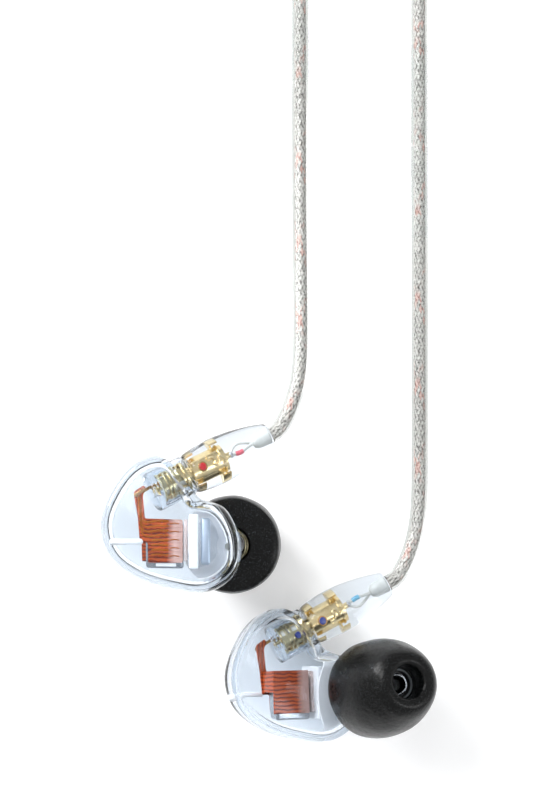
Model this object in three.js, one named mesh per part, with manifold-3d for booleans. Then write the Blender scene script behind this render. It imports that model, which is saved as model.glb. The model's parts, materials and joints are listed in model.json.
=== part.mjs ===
// A pair of clear in-ear monitors with detachable cables, lying on a flat surface.
//
// Millimetres, +Z up. The surface is z = 0. The right earphone stands on the tip of its foam
// sleeve with its outer face up. The left earphone lies on its outer face, rolled to one side.
// Both cables run along +Y to a slider, then into a round coil with the Y-split and the plug.
//
// Each earphone is built once in its own frame: x and y lie in the parting plane of the two
// shells, +z is the outer face and -z is the ear side. The left one is its mirror image in z.

import * as THREE from 'three';
import { mergeVertices } from 'three/addons/utils/BufferGeometryUtils.js';
import Module from 'manifold-3d';

const wasm = await Module();
wasm.setup();

// ---------------------------------------------------------------- driving dimensions

const GAP = 0.3; // clearance between neighbouring pieces

const FACE_WALL = 0.9; // shell wall at its outer and ear-side faces
const EDGE_WALL = 1.3; // shell wall at the parting plane
const OUTER_RISE = 6.3; // parting plane to the outer face
const INNER_RISE = 5.6; // parting plane to the ear-side face
const ROUNDNESS = 2.7; // 2 makes the section an ellipse, and more makes the faces flatter
const BODY_OUTLINE = [
  [-1.4, 8.6], [-4.7, 7.6], [-7.7, 3.9], [-9.05, -0.4], [-7.9, -4.3], [-4.4, -7.1],
  [0.6, -8.6], [5.3, -8.7], [8.4, -6.4], [9.05, -2.6], [7.2, 1.7], [3.5, 3.4], [1.6, 6],
];

const JOINT = new THREE.Vector3(2.1, 6.2, -0.2); // centre of the connector's joint face
const CABLE_AZIMUTH = 27; // of the connector axis, in the parting plane
const CABLE_LEAN = 14; // of the connector axis, towards the ear side
const BARREL_RADIUS = 2.65;
const BARREL_DEPTH = 5.3;
const SOCKET_RADIUS = 1.95;
const HOUSING_LENGTH = 12.05;
const HOUSING_RADIUS = 3.05; // at its widest
const HOUSING_END_RADIUS = 1.7;

const NOZZLE_BASE = new THREE.Vector3(7.75, -2.5, -6.2); // where the foam sleeve begins
const NOZZLE_TILT = 5; // of the nozzle axis, away from straight down
const NOZZLE_RADIUS = 1.5;
const NOZZLE_BORE = 1.2;
const NOZZLE_REACH = 8; // into the sleeve
const CORE_RADIUS = 2.15;
const SLEEVE_LENGTH = 11.6;
const SLEEVE_RADIUS = 6.4;
const SLEEVE_TIP_RADIUS = 3.7;

const WIRE_RADIUS = 1.09; // jacketed lead
const MAIN_RADIUS = 1.15; // cable below the Y-split
const SHRINK_STARTS = { right: 49.4, left: 47 }; // along each lead, from its connector
const SHRINKS = [
  { length: 12.4, radius: 1.34 },
  { length: 13.4, radius: 1.27 },
];

const COIL_CENTRE = [-5.8, 132];
const COIL_PITCH = 2.25; // from one turn to the next
const COIL_INNER_TURN = 8.5; // radius of the innermost turn's centreline
const COIL_COLUMNS = 6;
const COIL_LAYERS = 4;
const TIE_WIDTH = 3;
const TIE_THICKNESS = 0.5;
const COIL_BOTTOM = TIE_THICKNESS + 0.35; // the coil lies on its two ties
const COIL_TOP = COIL_BOTTOM + COIL_LAYERS * COIL_PITCH;
const COIL_BORE = COIL_INNER_TURN - COIL_PITCH / 2;
const COIL_RADIUS = COIL_BORE + COIL_COLUMNS * COIL_PITCH;

const SLIDER = { centre: [12.6, 103, 2.1], spacing: 3.4, width: 8.6, length: 8, height: 4.2 };
const SPLIT = { length: 14, width: 5.6, height: 3.4, radius: 18.62 };
const PLUG_AT = [14, 123.5]; // rear end of the plug's strain relief; the plug points to -x
const PLUG_RADIUS = 3.6;
const PIN_RADIUS = 1.75; // 3.5 mm plug

// Where each earphone lies: its own origin, and its turn about x, y and z in degrees. Each is
// then lowered onto the surface.
const RIGHT_PLACE = { at: [-12.6, 8.11], turn: [-NOZZLE_TILT, 0, 0] };
const LEFT_PLACE = { at: [3.16, -11.97], turn: [-5, 26.5, 2] };

// The routes of the two leads, from the connectors through the slider to the coil.
const RIGHT_ROUTE = [
  [0.18, 19.43, 13.37], [1.15, 20.05, 13.05], [2.2, 21.6, 12.55], [3, 23.5, 12], [3.7, 26, 11.2],
  [4.1, 29, 10.2], [4.2, 32, 9.2], [4.2, 37, 7.6], [4.15, 43.5, 5.5], [4.1, 50, 3.7], [4.1, 57, 2.2],
  [4.1, 63, 1.55], [4.1, 69, 1.4], [4.1, 75, 1.4], [4.2, 79.5, 1.4], [5, 84, 1.4], [6.9, 88.8, 1.4],
  [9.2, 92.8, 1.6], [10.6, 95.9, 1.95], [10.9, 98.6, 2.1], [10.9, 102, 2.1], [10.9, 106, 2.1],
  [10.9, 111, 2.1], [10.9, 115, 2.1], [10.95, 117.2, 2.05],
];
const LEFT_ROUTE = [
  [15.64, -0.16, 3.7], [16.6, 0.42, 3.46], [17.6, 1.8, 3.1], [18.4, 3.5, 2.75],
  [19.15, 5.8, 2.35], [19.65, 8.7, 1.95], [19.85, 12, 1.6], [19.9, 18, 1.3], [19.9, 26, 1.2],
  [19.9, 36, 1.25], [19.9, 46, 1.4], [19.85, 58, 1.4], [19.85, 67, 1.4], [19.85, 74, 1.4],
  [19.8, 79.5, 1.4], [19.3, 84.5, 1.4], [17.7, 89.2, 1.4], [15.9, 92.8, 1.6], [14.6, 95.9, 1.95],
  [14.3, 98.6, 2.1], [14.3, 102, 2.1], [14.3, 107, 2.1], [14.3, 112, 2.1], [14.25, 116.5, 2.1],
  [14.1, 121.2, 2],
];
const MAIN_TAIL_ROUTE = [
  [14.4, 123.5, 13.75], [15.8, 123.5, 13.75], [17.8, 124.6, 13.6], [18.8, 127.2, 13.2],
  [18, 130.4, 12.8], [15, 133, 12.3], [9.5, 134.6, 11.6],
];

// ---------------------------------------------------------------- materials

const FINISHES = {
  clear: { color: 0xe9eef3, roughness: 0.06, metalness: 0 },
  gold: { color: 0xd9b55c, roughness: 0.25, metalness: 1 },
  steel: { color: 0xa9adb2, roughness: 0.35, metalness: 1 },
  brass: { color: 0xb8ab83, roughness: 0.4, metalness: 1 },
  foam: { color: 0x232628, roughness: 0.85, metalness: 0 },
  white: { color: 0xf1f1ef, roughness: 0.5, metalness: 0 },
  grey: { color: 0x8b97a5, roughness: 0.4, metalness: 0 },
  flex: { color: 0xc15c22, roughness: 0.35, metalness: 0 },
  red: { color: 0xb3141c, roughness: 0.4, metalness: 0 },
  blue: { color: 0x1c2c7a, roughness: 0.4, metalness: 0 },
  green: { color: 0x4f8f5d, roughness: 0.6, metalness: 0 },
  cable: { color: 0xd6d3ce, roughness: 0.25, metalness: 0 },
  black: { color: 0x1b1c1e, roughness: 0.5, metalness: 0 },
};

// ---------------------------------------------------------------- geometry helpers

const radians = THREE.MathUtils.degToRad;

function signedVolume(geometry) {
  const p = geometry.attributes.position;
  const index = geometry.index.array;
  const corner = [0, 1, 2].map(() => new THREE.Vector3());
  let volume = 0;
  for (let i = 0; i < index.length; i += 3) {
    corner.forEach((v, k) => v.fromBufferAttribute(p, index[i + k]));
    volume += corner[0].dot(corner[1].clone().cross(corner[2])) / 6;
  }
  return volume;
}

// One shared vertex at each place, no needle triangles, and every face pointing out.
function welded(geometry) {
  geometry.deleteAttribute('normal');
  geometry.deleteAttribute('uv');
  const merged = mergeVertices(geometry, 1e-4);
  const kept = [];
  const index = merged.index.array;
  for (let i = 0; i < index.length; i += 3) {
    const [a, b, c] = index.slice(i, i + 3);
    if (a !== b && b !== c && c !== a) kept.push(a, b, c);
  }
  merged.setIndex(kept);
  if (signedVolume(merged) < 0) {
    for (let i = 0; i < kept.length; i += 3) [kept[i], kept[i + 1]] = [kept[i + 1], kept[i]];
    merged.setIndex(kept);
  }
  return merged;
}

function solid(geometry) {
  const whole = welded(geometry);
  return new wasm.Manifold(new wasm.Mesh({
    numProp: 3,
    vertProperties: Float32Array.from(whole.attributes.position.array),
    triVerts: Uint32Array.from(whole.index.array),
  }));
}

function geometryOf(manifold) {
  const mesh = manifold.getMesh();
  const geometry = new THREE.BufferGeometry();
  geometry.setAttribute('position', new THREE.BufferAttribute(mesh.vertProperties, 3));
  geometry.setIndex(new THREE.BufferAttribute(mesh.triVerts, 1));
  return geometry;
}

// A body of revolution about z. The profile is [radius, z] pairs: it starts and ends on the
// axis, or it is a ring's section, which this closes.
function lathe(profile, sides = 16) {
  const isRing = profile[0][0] > 0;
  const points = profile.map(([r, z]) => new THREE.Vector2(r, z));
  if (isRing) points.push(points[0].clone());
  return new THREE.LatheGeometry(points, sides).rotateX(Math.PI / 2);
}

function pipe(inner, outer, from, to, sides) {
  return lathe([[inner, from], [outer, from], [outer, to], [inner, to]], sides);
}

function rod(radius, from, to, sides) {
  return lathe([[0, from], [radius, from], [radius, to], [0, to]], sides);
}

// A box from its low corner to its high corner.
function block(low, high) {
  const size = high.map((v, i) => v - low[i]);
  const middle = high.map((v, i) => (v + low[i]) / 2);
  return new THREE.BoxGeometry(...size).translate(...middle);
}

// A round cord along part of a route, between two distances along it.
function cord(route, from, to, radius) {
  const path = new THREE.CatmullRomCurve3(
    route.map((p) => new THREE.Vector3(...p)), false, 'centripetal');
  const whole = path.getLength();
  const end = Math.min(to, whole);
  const steps = Math.ceil((end - from) / (5 * radius));
  const points = [];
  for (let i = 0; i <= steps; i++) {
    points.push(path.getPointAt((from + ((end - from) * i) / steps) / whole));
  }
  const section = new THREE.Shape().absarc(0, 0, radius, 0, 2 * Math.PI);
  return new THREE.ExtrudeGeometry(section, {
    steps,
    curveSegments: 4,
    extrudePath: new THREE.CatmullRomCurve3(points, false, 'centripetal'),
  });
}

function piece(name, geometry, finish) {
  const mesh = new THREE.Mesh(welded(geometry), new THREE.MeshStandardMaterial(FINISHES[finish]));
  mesh.name = name;
  return mesh;
}

function assembly(...parts) {
  const group = new THREE.Group();
  group.add(...parts);
  return group;
}

// ---------------------------------------------------------------- frames inside an earphone

// Connector frame: origin at the joint face, +z along the cable.
function connectorMatrix() {
  const azimuth = radians(CABLE_AZIMUTH);
  const lean = radians(CABLE_LEAN);
  const along = new THREE.Vector3(
    Math.cos(lean) * Math.cos(azimuth), Math.cos(lean) * Math.sin(azimuth), -Math.sin(lean));
  const turn = new THREE.Quaternion().setFromUnitVectors(new THREE.Vector3(0, 0, 1), along);
  return new THREE.Matrix4().compose(JOINT, turn, new THREE.Vector3(1, 1, 1));
}

// Nozzle frame: origin at the sleeve's base, +z towards the sleeve's tip.
function nozzleMatrix() {
  const turn = new THREE.Euler(Math.PI + radians(NOZZLE_TILT), 0, 0);
  return new THREE.Matrix4().compose(
    NOZZLE_BASE, new THREE.Quaternion().setFromEuler(turn), new THREE.Vector3(1, 1, 1));
}

function framed(matrix, ...parts) {
  const group = assembly(...parts);
  matrix.decompose(group.position, group.quaternion, group.scale);
  return group;
}

// ---------------------------------------------------------------- shells

// A sphere whose equator is the body's outline and whose meridians are superellipses. The
// hollow inside a shell is the same shape, drawn in by the wall.
function pebble(rise, faceWall = 0, edgeWall = 0) {
  const sides = 36;
  const rings = 10;
  const loop = new THREE.CatmullRomCurve3(
    BODY_OUTLINE.map(([x, y]) => new THREE.Vector3(x, y, 0)), true, 'centripetal');
  const geometry = new THREE.SphereGeometry(1, sides, rings);
  const position = geometry.attributes.position;
  for (let i = 0; i < position.count; i++) {
    const column = i % (sides + 1);
    const polar = (Math.floor(i / (sides + 1)) / rings) * Math.PI;
    const edge = loop.getPoint((column % sides) / sides);
    const spread = Math.abs(Math.sin(polar)) ** (2 / ROUNDNESS);
    const height = Math.sign(Math.cos(polar)) * Math.abs(Math.cos(polar)) ** (2 / ROUNDNESS);
    edge.multiplyScalar(spread * (1 - edgeWall / edge.length()));
    position.setXYZ(i, edge.x, edge.y, height * (rise - faceWall));
  }
  return geometry;
}

function halfSpace(from, to) {
  return solid(block([-20, -20, from], [20, 20, to]));
}

function outerShell() {
  const barrelRoom = rod(BARREL_RADIUS + GAP, -BARREL_DEPTH - GAP, GAP);
  return geometryOf(
    solid(pebble(OUTER_RISE))
      .subtract(solid(pebble(OUTER_RISE, FACE_WALL, EDGE_WALL)))
      .intersect(halfSpace(GAP / 2, OUTER_RISE + 1))
      .subtract(solid(barrelRoom.applyMatrix4(connectorMatrix()))));
}

// The ear-side shell carries the whole socket barrel and the boss that the nozzle sits in.
function innerShell() {
  const bossTop = -0.95;
  const bossLength = 2.3;
  const bossShift = 2.3; // the boss leans inwards, to stay within the body's outline
  const barrel = rod(BARREL_RADIUS, -BARREL_DEPTH, 0);
  const bore = rod(SOCKET_RADIUS + GAP, -BARREL_DEPTH + 0.9, 1);
  const wireHole = rod(0.8, -BARREL_DEPTH - 1, 0, 8);
  const boss = lathe([[0, 0], [3.6, 0], [CORE_RADIUS, bossLength], [0, bossLength]])
    .applyMatrix4(new THREE.Matrix4().makeShear(0, 0, 0, 0, bossShift / bossLength, 0))
    .translate(-bossShift, 0, bossTop - bossLength);
  const nozzleHole = rod(NOZZLE_RADIUS + GAP, bossTop - bossLength - 2, 1);
  return geometryOf(
    solid(pebble(INNER_RISE))
      .subtract(solid(pebble(INNER_RISE, FACE_WALL, EDGE_WALL)))
      .intersect(halfSpace(-INNER_RISE - 1, -GAP / 2))
      .add(solid(barrel.applyMatrix4(connectorMatrix())))
      .add(solid(boss.applyMatrix4(nozzleMatrix())))
      .subtract(solid(bore.applyMatrix4(connectorMatrix())))
      .subtract(solid(wireHole.applyMatrix4(connectorMatrix())))
      .subtract(solid(nozzleHole.applyMatrix4(nozzleMatrix()))));
}

// ---------------------------------------------------------------- drivers and flex circuit

const WOOFER = { low: [-3.2, -5.95, -1.2], high: [1.6, 0, 1.2] };
const BOOT = { low: [2.35, -6, -2.2], high: [3.6, 1.1, 2.4] };
const TWEETER = { low: [3.9, -5.4, -2.1], high: [5.1, 0.6, 2.1] };
const FLEX_THICKNESS = 0.25;

// The flex circuit wraps the woofer on both faces, and its tail runs up to the socket's contacts.
function flexCircuit() {
  const left = WOOFER.low[0] - GAP - FLEX_THICKNESS;
  const right = WOOFER.high[0] - GAP;
  const face = WOOFER.high[2] + GAP;
  const top = 0.5;
  const bottom = -5.1;
  const step = -2.3;
  const sheet = new THREE.Shape([
    [left - 0.65, 4], [-3.5, 4.7], [-3.35, 4.35], [left, 3.7], [left + 0.2, top], [right, top],
    [right, bottom], [left + 1.3, bottom], [left + 1.3, step], [left, step], [left, top],
  ].reverse().map(([x, y]) => new THREE.Vector2(x, y)));
  const front = new THREE.ExtrudeGeometry(sheet, { depth: FLEX_THICKNESS, bevelEnabled: false });
  const back = block([left, bottom, -face - FLEX_THICKNESS], [right, top, -face]);
  const fold = block(
    [left, step, -face - FLEX_THICKNESS], [left + FLEX_THICKNESS, top, face + FLEX_THICKNESS]);
  return geometryOf(
    solid(front.translate(0, 0, face)).add(solid(back)).add(solid(fold)));
}

function drivers(side) {
  return assembly(
    piece(`${side}_woofer`, block(WOOFER.low, WOOFER.high), 'steel'),
    piece(`${side}_driver_boot`, block(BOOT.low, BOOT.high), 'white'),
    piece(`${side}_tweeter`, block(TWEETER.low, TWEETER.high), 'grey'),
    piece(`${side}_flex_circuit`, flexCircuit(), 'flex'));
}

// ---------------------------------------------------------------- socket and connector

function socket(side) {
  const back = -BARREL_DEPTH + 0.9 + GAP;
  const shell = lathe([
    [1.75, -1.1], [1.75, -0.35], [SOCKET_RADIUS, -0.35], [SOCKET_RADIUS, -1.5], [1.8, -1.6],
    [1.8, -2.3], [SOCKET_RADIUS, -2.4], [SOCKET_RADIUS, -3.3], [1.8, -3.4], [1.8, back], [1.65, back],
    [1.65, -1.1],
  ]);
  return framed(connectorMatrix(),
    piece(`${side}_socket_shell`, shell, 'gold'),
    piece(`${side}_socket_insulator`, pipe(0.55, 1.35, back + 0.2, -1.2), 'white'),
    piece(`${side}_socket_pin`, rod(0.25, -4.9, -1.1, 8), 'gold'));
}

function connector(side, dotFinish, dotFacing) {
  const bore = 2.2;
  const shellEnd = 5.9;
  const wireBore = 0.95;
  const housing = lathe([
    [bore, GAP], [BARREL_RADIUS, GAP], [2.9, 2], [HOUSING_RADIUS, 4], [2.95, 6.2], [2.6, 8.6],
    [2.15, 10.6], [HOUSING_END_RADIUS, HOUSING_LENGTH], [wireBore, HOUSING_LENGTH],
    [wireBore, shellEnd + GAP + 0.6], [bore, shellEnd + GAP],
  ], 20);
  const shell = lathe([
    [0.6, -0.9], [0.95, -0.9], [0.95, GAP], [1.9, GAP], [1.9, 1.5], [1.45, 1.55], [1.45, 4.5],
    [1.85, 4.55], [1.85, shellEnd], [1.25, shellEnd], [1.25, 0.5], [0.6, 0.5],
  ]);
  const ring = new THREE.Shape()
    .absarc(0, 0, 1.45, radians(25), radians(335), false)
    .absarc(0, 0, 1.25, radians(335), radians(25), true);
  const dot = rod(0.45, 1.75, 2.05, 10).applyMatrix4(dotMatrix(dotFacing));
  return {
    fixed: framed(connectorMatrix(),
      piece(`${side}_connector_housing`, housing, 'clear'),
      piece(`${side}_connector_shell`, shell, 'gold'),
      piece(`${side}_connector_insulator`, pipe(0.6, 0.95, 0.8, 4.8), 'white'),
      piece(`${side}_connector_pin`, rod(0.3, -0.8, 6.1, 8), 'gold'),
      piece(`${side}_id_dot`, dot, dotFinish)),
    snapRing: framed(connectorMatrix(),
      piece(`${side}_snap_ring`,
        new THREE.ExtrudeGeometry(ring, { depth: 0.35, bevelEnabled: false, curveSegments: 7 })
          .translate(0, 0, -0.7), 'gold')),
  };
}

// The coloured dot sits on the connector shell's neck. It faces the earphone's outer side, or
// its ear side where facing is -1.
function dotMatrix(facing) {
  const toConnector = connectorMatrix().invert();
  const outward = new THREE.Vector3(0, 0, facing).transformDirection(toConnector);
  outward.setZ(0).normalize();
  const turn = new THREE.Quaternion().setFromUnitVectors(new THREE.Vector3(0, 0, 1), outward);
  return new THREE.Matrix4().compose(
    new THREE.Vector3(0, 0, 2.9), turn, new THREE.Vector3(1, 1, 1));
}

// ---------------------------------------------------------------- nozzle and sleeve

function nozzle(side) {
  return framed(nozzleMatrix(),
    piece(`${side}_nozzle`, pipe(NOZZLE_BORE, NOZZLE_RADIUS, -4.4, NOZZLE_REACH), 'clear'),
    piece(`${side}_nozzle_ring`, pipe(NOZZLE_RADIUS + GAP, CORE_RADIUS, -0.65, -0.1), 'brass'),
    piece(`${side}_damper`, rod(NOZZLE_BORE - GAP, 1, 3, 10), 'green'));
}

function foamSleeve(side) {
  const recess = 3.2; // from the sleeve's tip to the end of its core
  const coreEnd = SLEEVE_LENGTH - recess;
  const bore = CORE_RADIUS + GAP;
  const tipHole = 2.1;
  const foam = lathe([
    [bore, 0], [5.9, 0], [6.25, 0.7], [SLEEVE_RADIUS, 2.2], [SLEEVE_RADIUS, 4], [6.2, 5.8],
    [5.75, 7.6], [5.05, 9.4], [4.3, 10.8], [SLEEVE_TIP_RADIUS, 11.4], [3.3, SLEEVE_LENGTH],
    [2.4, SLEEVE_LENGTH], [tipHole, SLEEVE_LENGTH - 0.4], [tipHole, coreEnd + GAP],
    [bore, coreEnd + GAP],
  ], 24);
  return framed(nozzleMatrix(),
    piece(`${side}_foam_sleeve`, foam, 'foam'),
    piece(`${side}_sleeve_core`, pipe(NOZZLE_RADIUS + GAP, CORE_RADIUS, 0.2, coreEnd), 'black'));
}

// ---------------------------------------------------------------- one earphone

function earphone(side, dotFinish, place, mirrored) {
  const joint = connector(side, dotFinish, mirrored ? -1 : 1);
  const parts = assembly(
    piece(`${side}_outer_shell`, outerShell(), 'clear'),
    piece(`${side}_inner_shell`, innerShell(), 'clear'),
    drivers(side), socket(side), joint.fixed, joint.snapRing, nozzle(side), foamSleeve(side));
  parts.scale.z = mirrored ? -1 : 1;
  const placed = assembly(parts);
  placed.position.set(...place.at, 0);
  placed.rotation.set(...place.turn.map(radians));
  placed.position.z = -new THREE.Box3().setFromObject(placed, true).min.z;
  return placed;
}

// ---------------------------------------------------------------- leads, slider and coil

// A lead, its two shrink sleeves, and the rest of its way to the coil.
function lead(side, route) {
  let along = SHRINK_STARTS[side];
  const parts = [piece(`${side}_lead`, cord(route, 0, along - GAP, WIRE_RADIUS), 'cable')];
  SHRINKS.forEach(({ length, radius }, i) => {
    const sleeve = cord(route, along, along + length - GAP, radius);
    parts.push(piece(`${side}_shrink_${i + 1}`, sleeve, 'cable'));
    along += length;
  });
  parts.push(piece(`${side}_lead_upper`, cord(route, along, Infinity, WIRE_RADIUS), 'cable'));
  return assembly(...parts);
}

// The slider that draws the two leads together: a rounded bar with one bore for each lead.
function cinchSlider() {
  const { centre, spacing, width, length, height } = SLIDER;
  const corner = height / 2;
  const reach = width / 2 - corner;
  const section = new THREE.Shape()
    .absarc(reach, 0, corner, -Math.PI / 2, Math.PI / 2)
    .absarc(-reach, 0, corner, Math.PI / 2, (3 * Math.PI) / 2);
  section.holes = [-1, 1].map((s) => new THREE.Path()
    .absarc((s * spacing) / 2, 0, WIRE_RADIUS + GAP, 0, 2 * Math.PI));
  return new THREE.ExtrudeGeometry(section, { depth: length, bevelEnabled: false, curveSegments: 8 })
    .translate(0, 0, -length / 2).rotateX(Math.PI / 2).translate(...centre);
}

// A strap round the coil's section, on the side of the coil that faces the given angle.
function cableTie(angle) {
  const inner = COIL_BORE - GAP;
  const outer = COIL_RADIUS + GAP;
  const top = COIL_TOP + 0.35;
  const t = TIE_THICKNESS;
  const corners = (points) => points.map(([r, z]) => new THREE.Vector2(r, z));
  const strap = new THREE.Shape(corners(
    [[inner - t, 0], [outer + t, 0], [outer + t, top + t], [inner - t, top + t]]));
  strap.holes = [new THREE.Path(corners(
    [[inner, t], [inner, top], [outer, top], [outer, t]]))];
  return new THREE.ExtrudeGeometry(strap, { depth: TIE_WIDTH, bevelEnabled: false })
    .translate(0, 0, -TIE_WIDTH / 2).rotateX(Math.PI / 2).rotateZ(angle).translate(...COIL_CENTRE, 0);
}

function coil() {
  const ring = pipe(COIL_BORE, COIL_RADIUS, COIL_BOTTOM, COIL_TOP, 48);
  return ring.translate(...COIL_CENTRE, 0);
}

// The moulded block where the two leads become one cable. It lies on the coil.
function ySplit() {
  const { length, width, height, radius } = SPLIT;
  const half = length / 2;
  const outline = new THREE.Shape([
    [-half, -1.6], [-half + 2, -2.1], [half - 3, -width / 2], [half, -width / 2], [half, width / 2],
    [half - 3, width / 2], [-half + 2, 2.1], [-half, 1.6],
  ].map(([x, y]) => new THREE.Vector2(x, y)));
  const bevel = 0.6;
  return new THREE.ExtrudeGeometry(outline, {
    depth: height - 2 * bevel, bevelThickness: bevel, bevelSize: bevel, bevelOffset: -bevel,
    bevelSegments: 2,
  }).translate(COIL_CENTRE[0], COIL_CENTRE[1] + radius, COIL_TOP + GAP + bevel);
}

// ---------------------------------------------------------------- plug

function plug() {
  const shoulder = 25; // from the rear of the strain relief to the front of the grip
  const collar = 1;
  const sleeveEnd = shoulder + 7.6;
  const ringStart = sleeveEnd + 1;
  const ringEnd = ringStart + 2.1;
  const tipStart = ringEnd + 1;
  const tipEnd = shoulder + 15;
  const core = 0.7;
  const bore = core + GAP;
  const housing = lathe([
    [0.9, 8], [0.9, 0], [1.6, 0], [2.3, 4], [2.6, 8], [3.3, 8.6], [PLUG_RADIUS, 10],
    [PLUG_RADIUS, 21], [3.3, shoulder], [2, shoulder], [2, shoulder - 3], [0.9, shoulder - 3],
  ], 20);
  const sleeve = lathe([
    [bore, shoulder + GAP], [2.7, shoulder + GAP], [2.7, shoulder + GAP + collar],
    [PIN_RADIUS, shoulder + GAP + collar], [PIN_RADIUS, sleeveEnd], [bore, sleeveEnd],
  ]);
  const insulator = lathe([
    [0, shoulder - 2], [core, shoulder - 2], [core, sleeveEnd + GAP], [PIN_RADIUS, sleeveEnd + GAP],
    [PIN_RADIUS, ringStart - GAP], [core, ringStart - GAP], [core, ringEnd + GAP],
    [PIN_RADIUS, ringEnd + GAP], [PIN_RADIUS, tipStart - GAP], [0, tipStart - GAP],
  ]);
  const tip = lathe([
    [0, tipStart], [PIN_RADIUS, tipStart], [PIN_RADIUS, tipStart + 0.5], [1.15, tipStart + 1.3],
    [PIN_RADIUS, tipStart + 2.2], [0.5, tipEnd], [0, tipEnd],
  ]);
  const group = assembly(
    piece('plug_housing', housing, 'black'),
    piece('plug_sleeve', sleeve, 'gold'),
    piece('plug_insulator', insulator, 'black'),
    piece('plug_ring', pipe(bore, PIN_RADIUS, ringStart, ringEnd), 'gold'),
    piece('plug_tip', tip, 'gold'));
  group.position.set(...PLUG_AT, COIL_TOP + GAP + PLUG_RADIUS);
  group.rotation.y = -Math.PI / 2;
  return group;
}

// ---------------------------------------------------------------- the object

const monitors = new THREE.Group();
monitors.name = 'in_ear_monitors';
monitors.add(
  earphone('right', 'red', RIGHT_PLACE, false),
  earphone('left', 'blue', LEFT_PLACE, true),
  lead('right', RIGHT_ROUTE),
  lead('left', LEFT_ROUTE),
  piece('cinch_slider', cinchSlider(), 'clear'),
  piece('cable_coil', coil(), 'cable'),
  piece('cable_tie_1', cableTie(0), 'black'),
  piece('cable_tie_2', cableTie(Math.PI), 'black'),
  piece('y_split', ySplit(), 'clear'),
  piece('main_lead_tail', cord(MAIN_TAIL_ROUTE, 0, Infinity, MAIN_RADIUS), 'cable'),
  plug());

export default monitors;
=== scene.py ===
# The looks of a pair of clear in-ear monitors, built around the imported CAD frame.
#
# Shapes are written in millimetres and turned into metres as each mesh is made. An earphone is
# built in its own frame: x and y lie in the parting plane of its two shells, +z is the outer
# face. The left one is its mirror image in z.

import json
import math

import bmesh
import bpy
from mathutils import Matrix, Vector, noise


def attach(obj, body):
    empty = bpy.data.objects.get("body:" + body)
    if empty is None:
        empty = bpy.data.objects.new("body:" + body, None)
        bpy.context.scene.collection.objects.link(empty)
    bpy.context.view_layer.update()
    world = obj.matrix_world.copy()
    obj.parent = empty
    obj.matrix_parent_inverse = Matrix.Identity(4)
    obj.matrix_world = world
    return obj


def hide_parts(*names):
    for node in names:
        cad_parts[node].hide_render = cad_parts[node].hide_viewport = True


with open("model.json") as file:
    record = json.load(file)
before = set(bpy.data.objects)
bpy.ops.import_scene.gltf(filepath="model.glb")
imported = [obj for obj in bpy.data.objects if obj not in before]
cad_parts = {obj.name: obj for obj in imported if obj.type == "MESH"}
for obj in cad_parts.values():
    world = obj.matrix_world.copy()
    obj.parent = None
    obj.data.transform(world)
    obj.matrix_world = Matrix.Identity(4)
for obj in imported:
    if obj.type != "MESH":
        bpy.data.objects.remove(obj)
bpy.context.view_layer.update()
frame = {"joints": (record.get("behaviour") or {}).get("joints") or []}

MM = 0.001
TO_METRES = Matrix.Scale(MM, 4)
WORLD = Matrix.Identity(4)
UP = Vector((0, 0, 1))

# ---------------------------------------------------------------- camera

VIEW_CENTRE = (1.30, 23.95)  # of the picture, on the surface that the monitors lie on
VIEW_HEIGHT = 103.9  # from top to bottom of the picture, at the height of the earphones
EARPHONE_HEIGHT = 12
FOCAL_LENGTH = 200
SENSOR = 36

camera_data = bpy.data.cameras.new("camera")
camera_data.lens = FOCAL_LENGTH
camera_data.sensor_width = SENSOR
camera_data.clip_start = 0.01
camera_data.clip_end = 20
camera = bpy.data.objects.new("camera", camera_data)
bpy.context.scene.collection.objects.link(camera)
camera.location = (
    VIEW_CENTRE[0] * MM,
    VIEW_CENTRE[1] * MM,
    (EARPHONE_HEIGHT + VIEW_HEIGHT * FOCAL_LENGTH / SENSOR) * MM,
)
bpy.context.scene.camera = camera

# ---------------------------------------------------------------- curves and paths


def catmull(points, closed=False, per_span=24):
    """Centripetal Catmull-Rom points through the given ones."""
    p = [Vector(q) for q in points]
    n = len(p)
    out = []
    for i in range(n if closed else n - 1):
        if closed:
            a, b, c, d = (p[(i + k) % n] for k in (-1, 0, 1, 2))
        else:
            b, c = p[i], p[i + 1]
            a = p[i - 1] if i > 0 else b * 2 - c
            d = p[i + 2] if i + 2 < n else c * 2 - b
        ta, tb, tc = ((v - u).length ** 0.5 or 1e-6 for u, v in ((a, b), (b, c), (c, d)))
        start = ((b - a) / ta - (c - a) / (ta + tb) + (c - b) / tb) * tb
        end = ((c - b) / tb - (d - b) / (tb + tc) + (d - c) / tc) * tb
        for k in range(per_span):
            t = k / per_span
            out.append(
                b + start * t + (3 * (c - b) - 2 * start - end) * t * t
                + (2 * (b - c) + start + end) * t ** 3
            )
    return out if closed else out + [p[-1]]


def length_of(points):
    return sum((b - a).length for a, b in zip(points, points[1:]))


def even(points, step):
    """The same line with its points the given distance apart."""
    total = length_of(points)
    count = max(2, round(total / step))
    out, walked, i = [points[0]], 0.0, 0
    for k in range(1, count):
        target = total * k / count
        while walked + (points[i + 1] - points[i]).length < target:
            walked += (points[i + 1] - points[i]).length
            i += 1
        span = (points[i + 1] - points[i]).length
        out.append(points[i].lerp(points[i + 1], (target - walked) / span))
    return out + [points[-1]]


def stretch_of(points, start, end):
    """The part of a line between two distances along it."""
    fine = even(points, 0.25)
    step = length_of(fine) / (len(fine) - 1)
    return fine[round(start / step):round(end / step) + 1]


def eased(value, low, high):
    t = min(max((value - low) / (high - low), 0), 1)
    return t * t * (3 - 2 * t)


# ---------------------------------------------------------------- cord routes, as in the CAD

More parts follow.
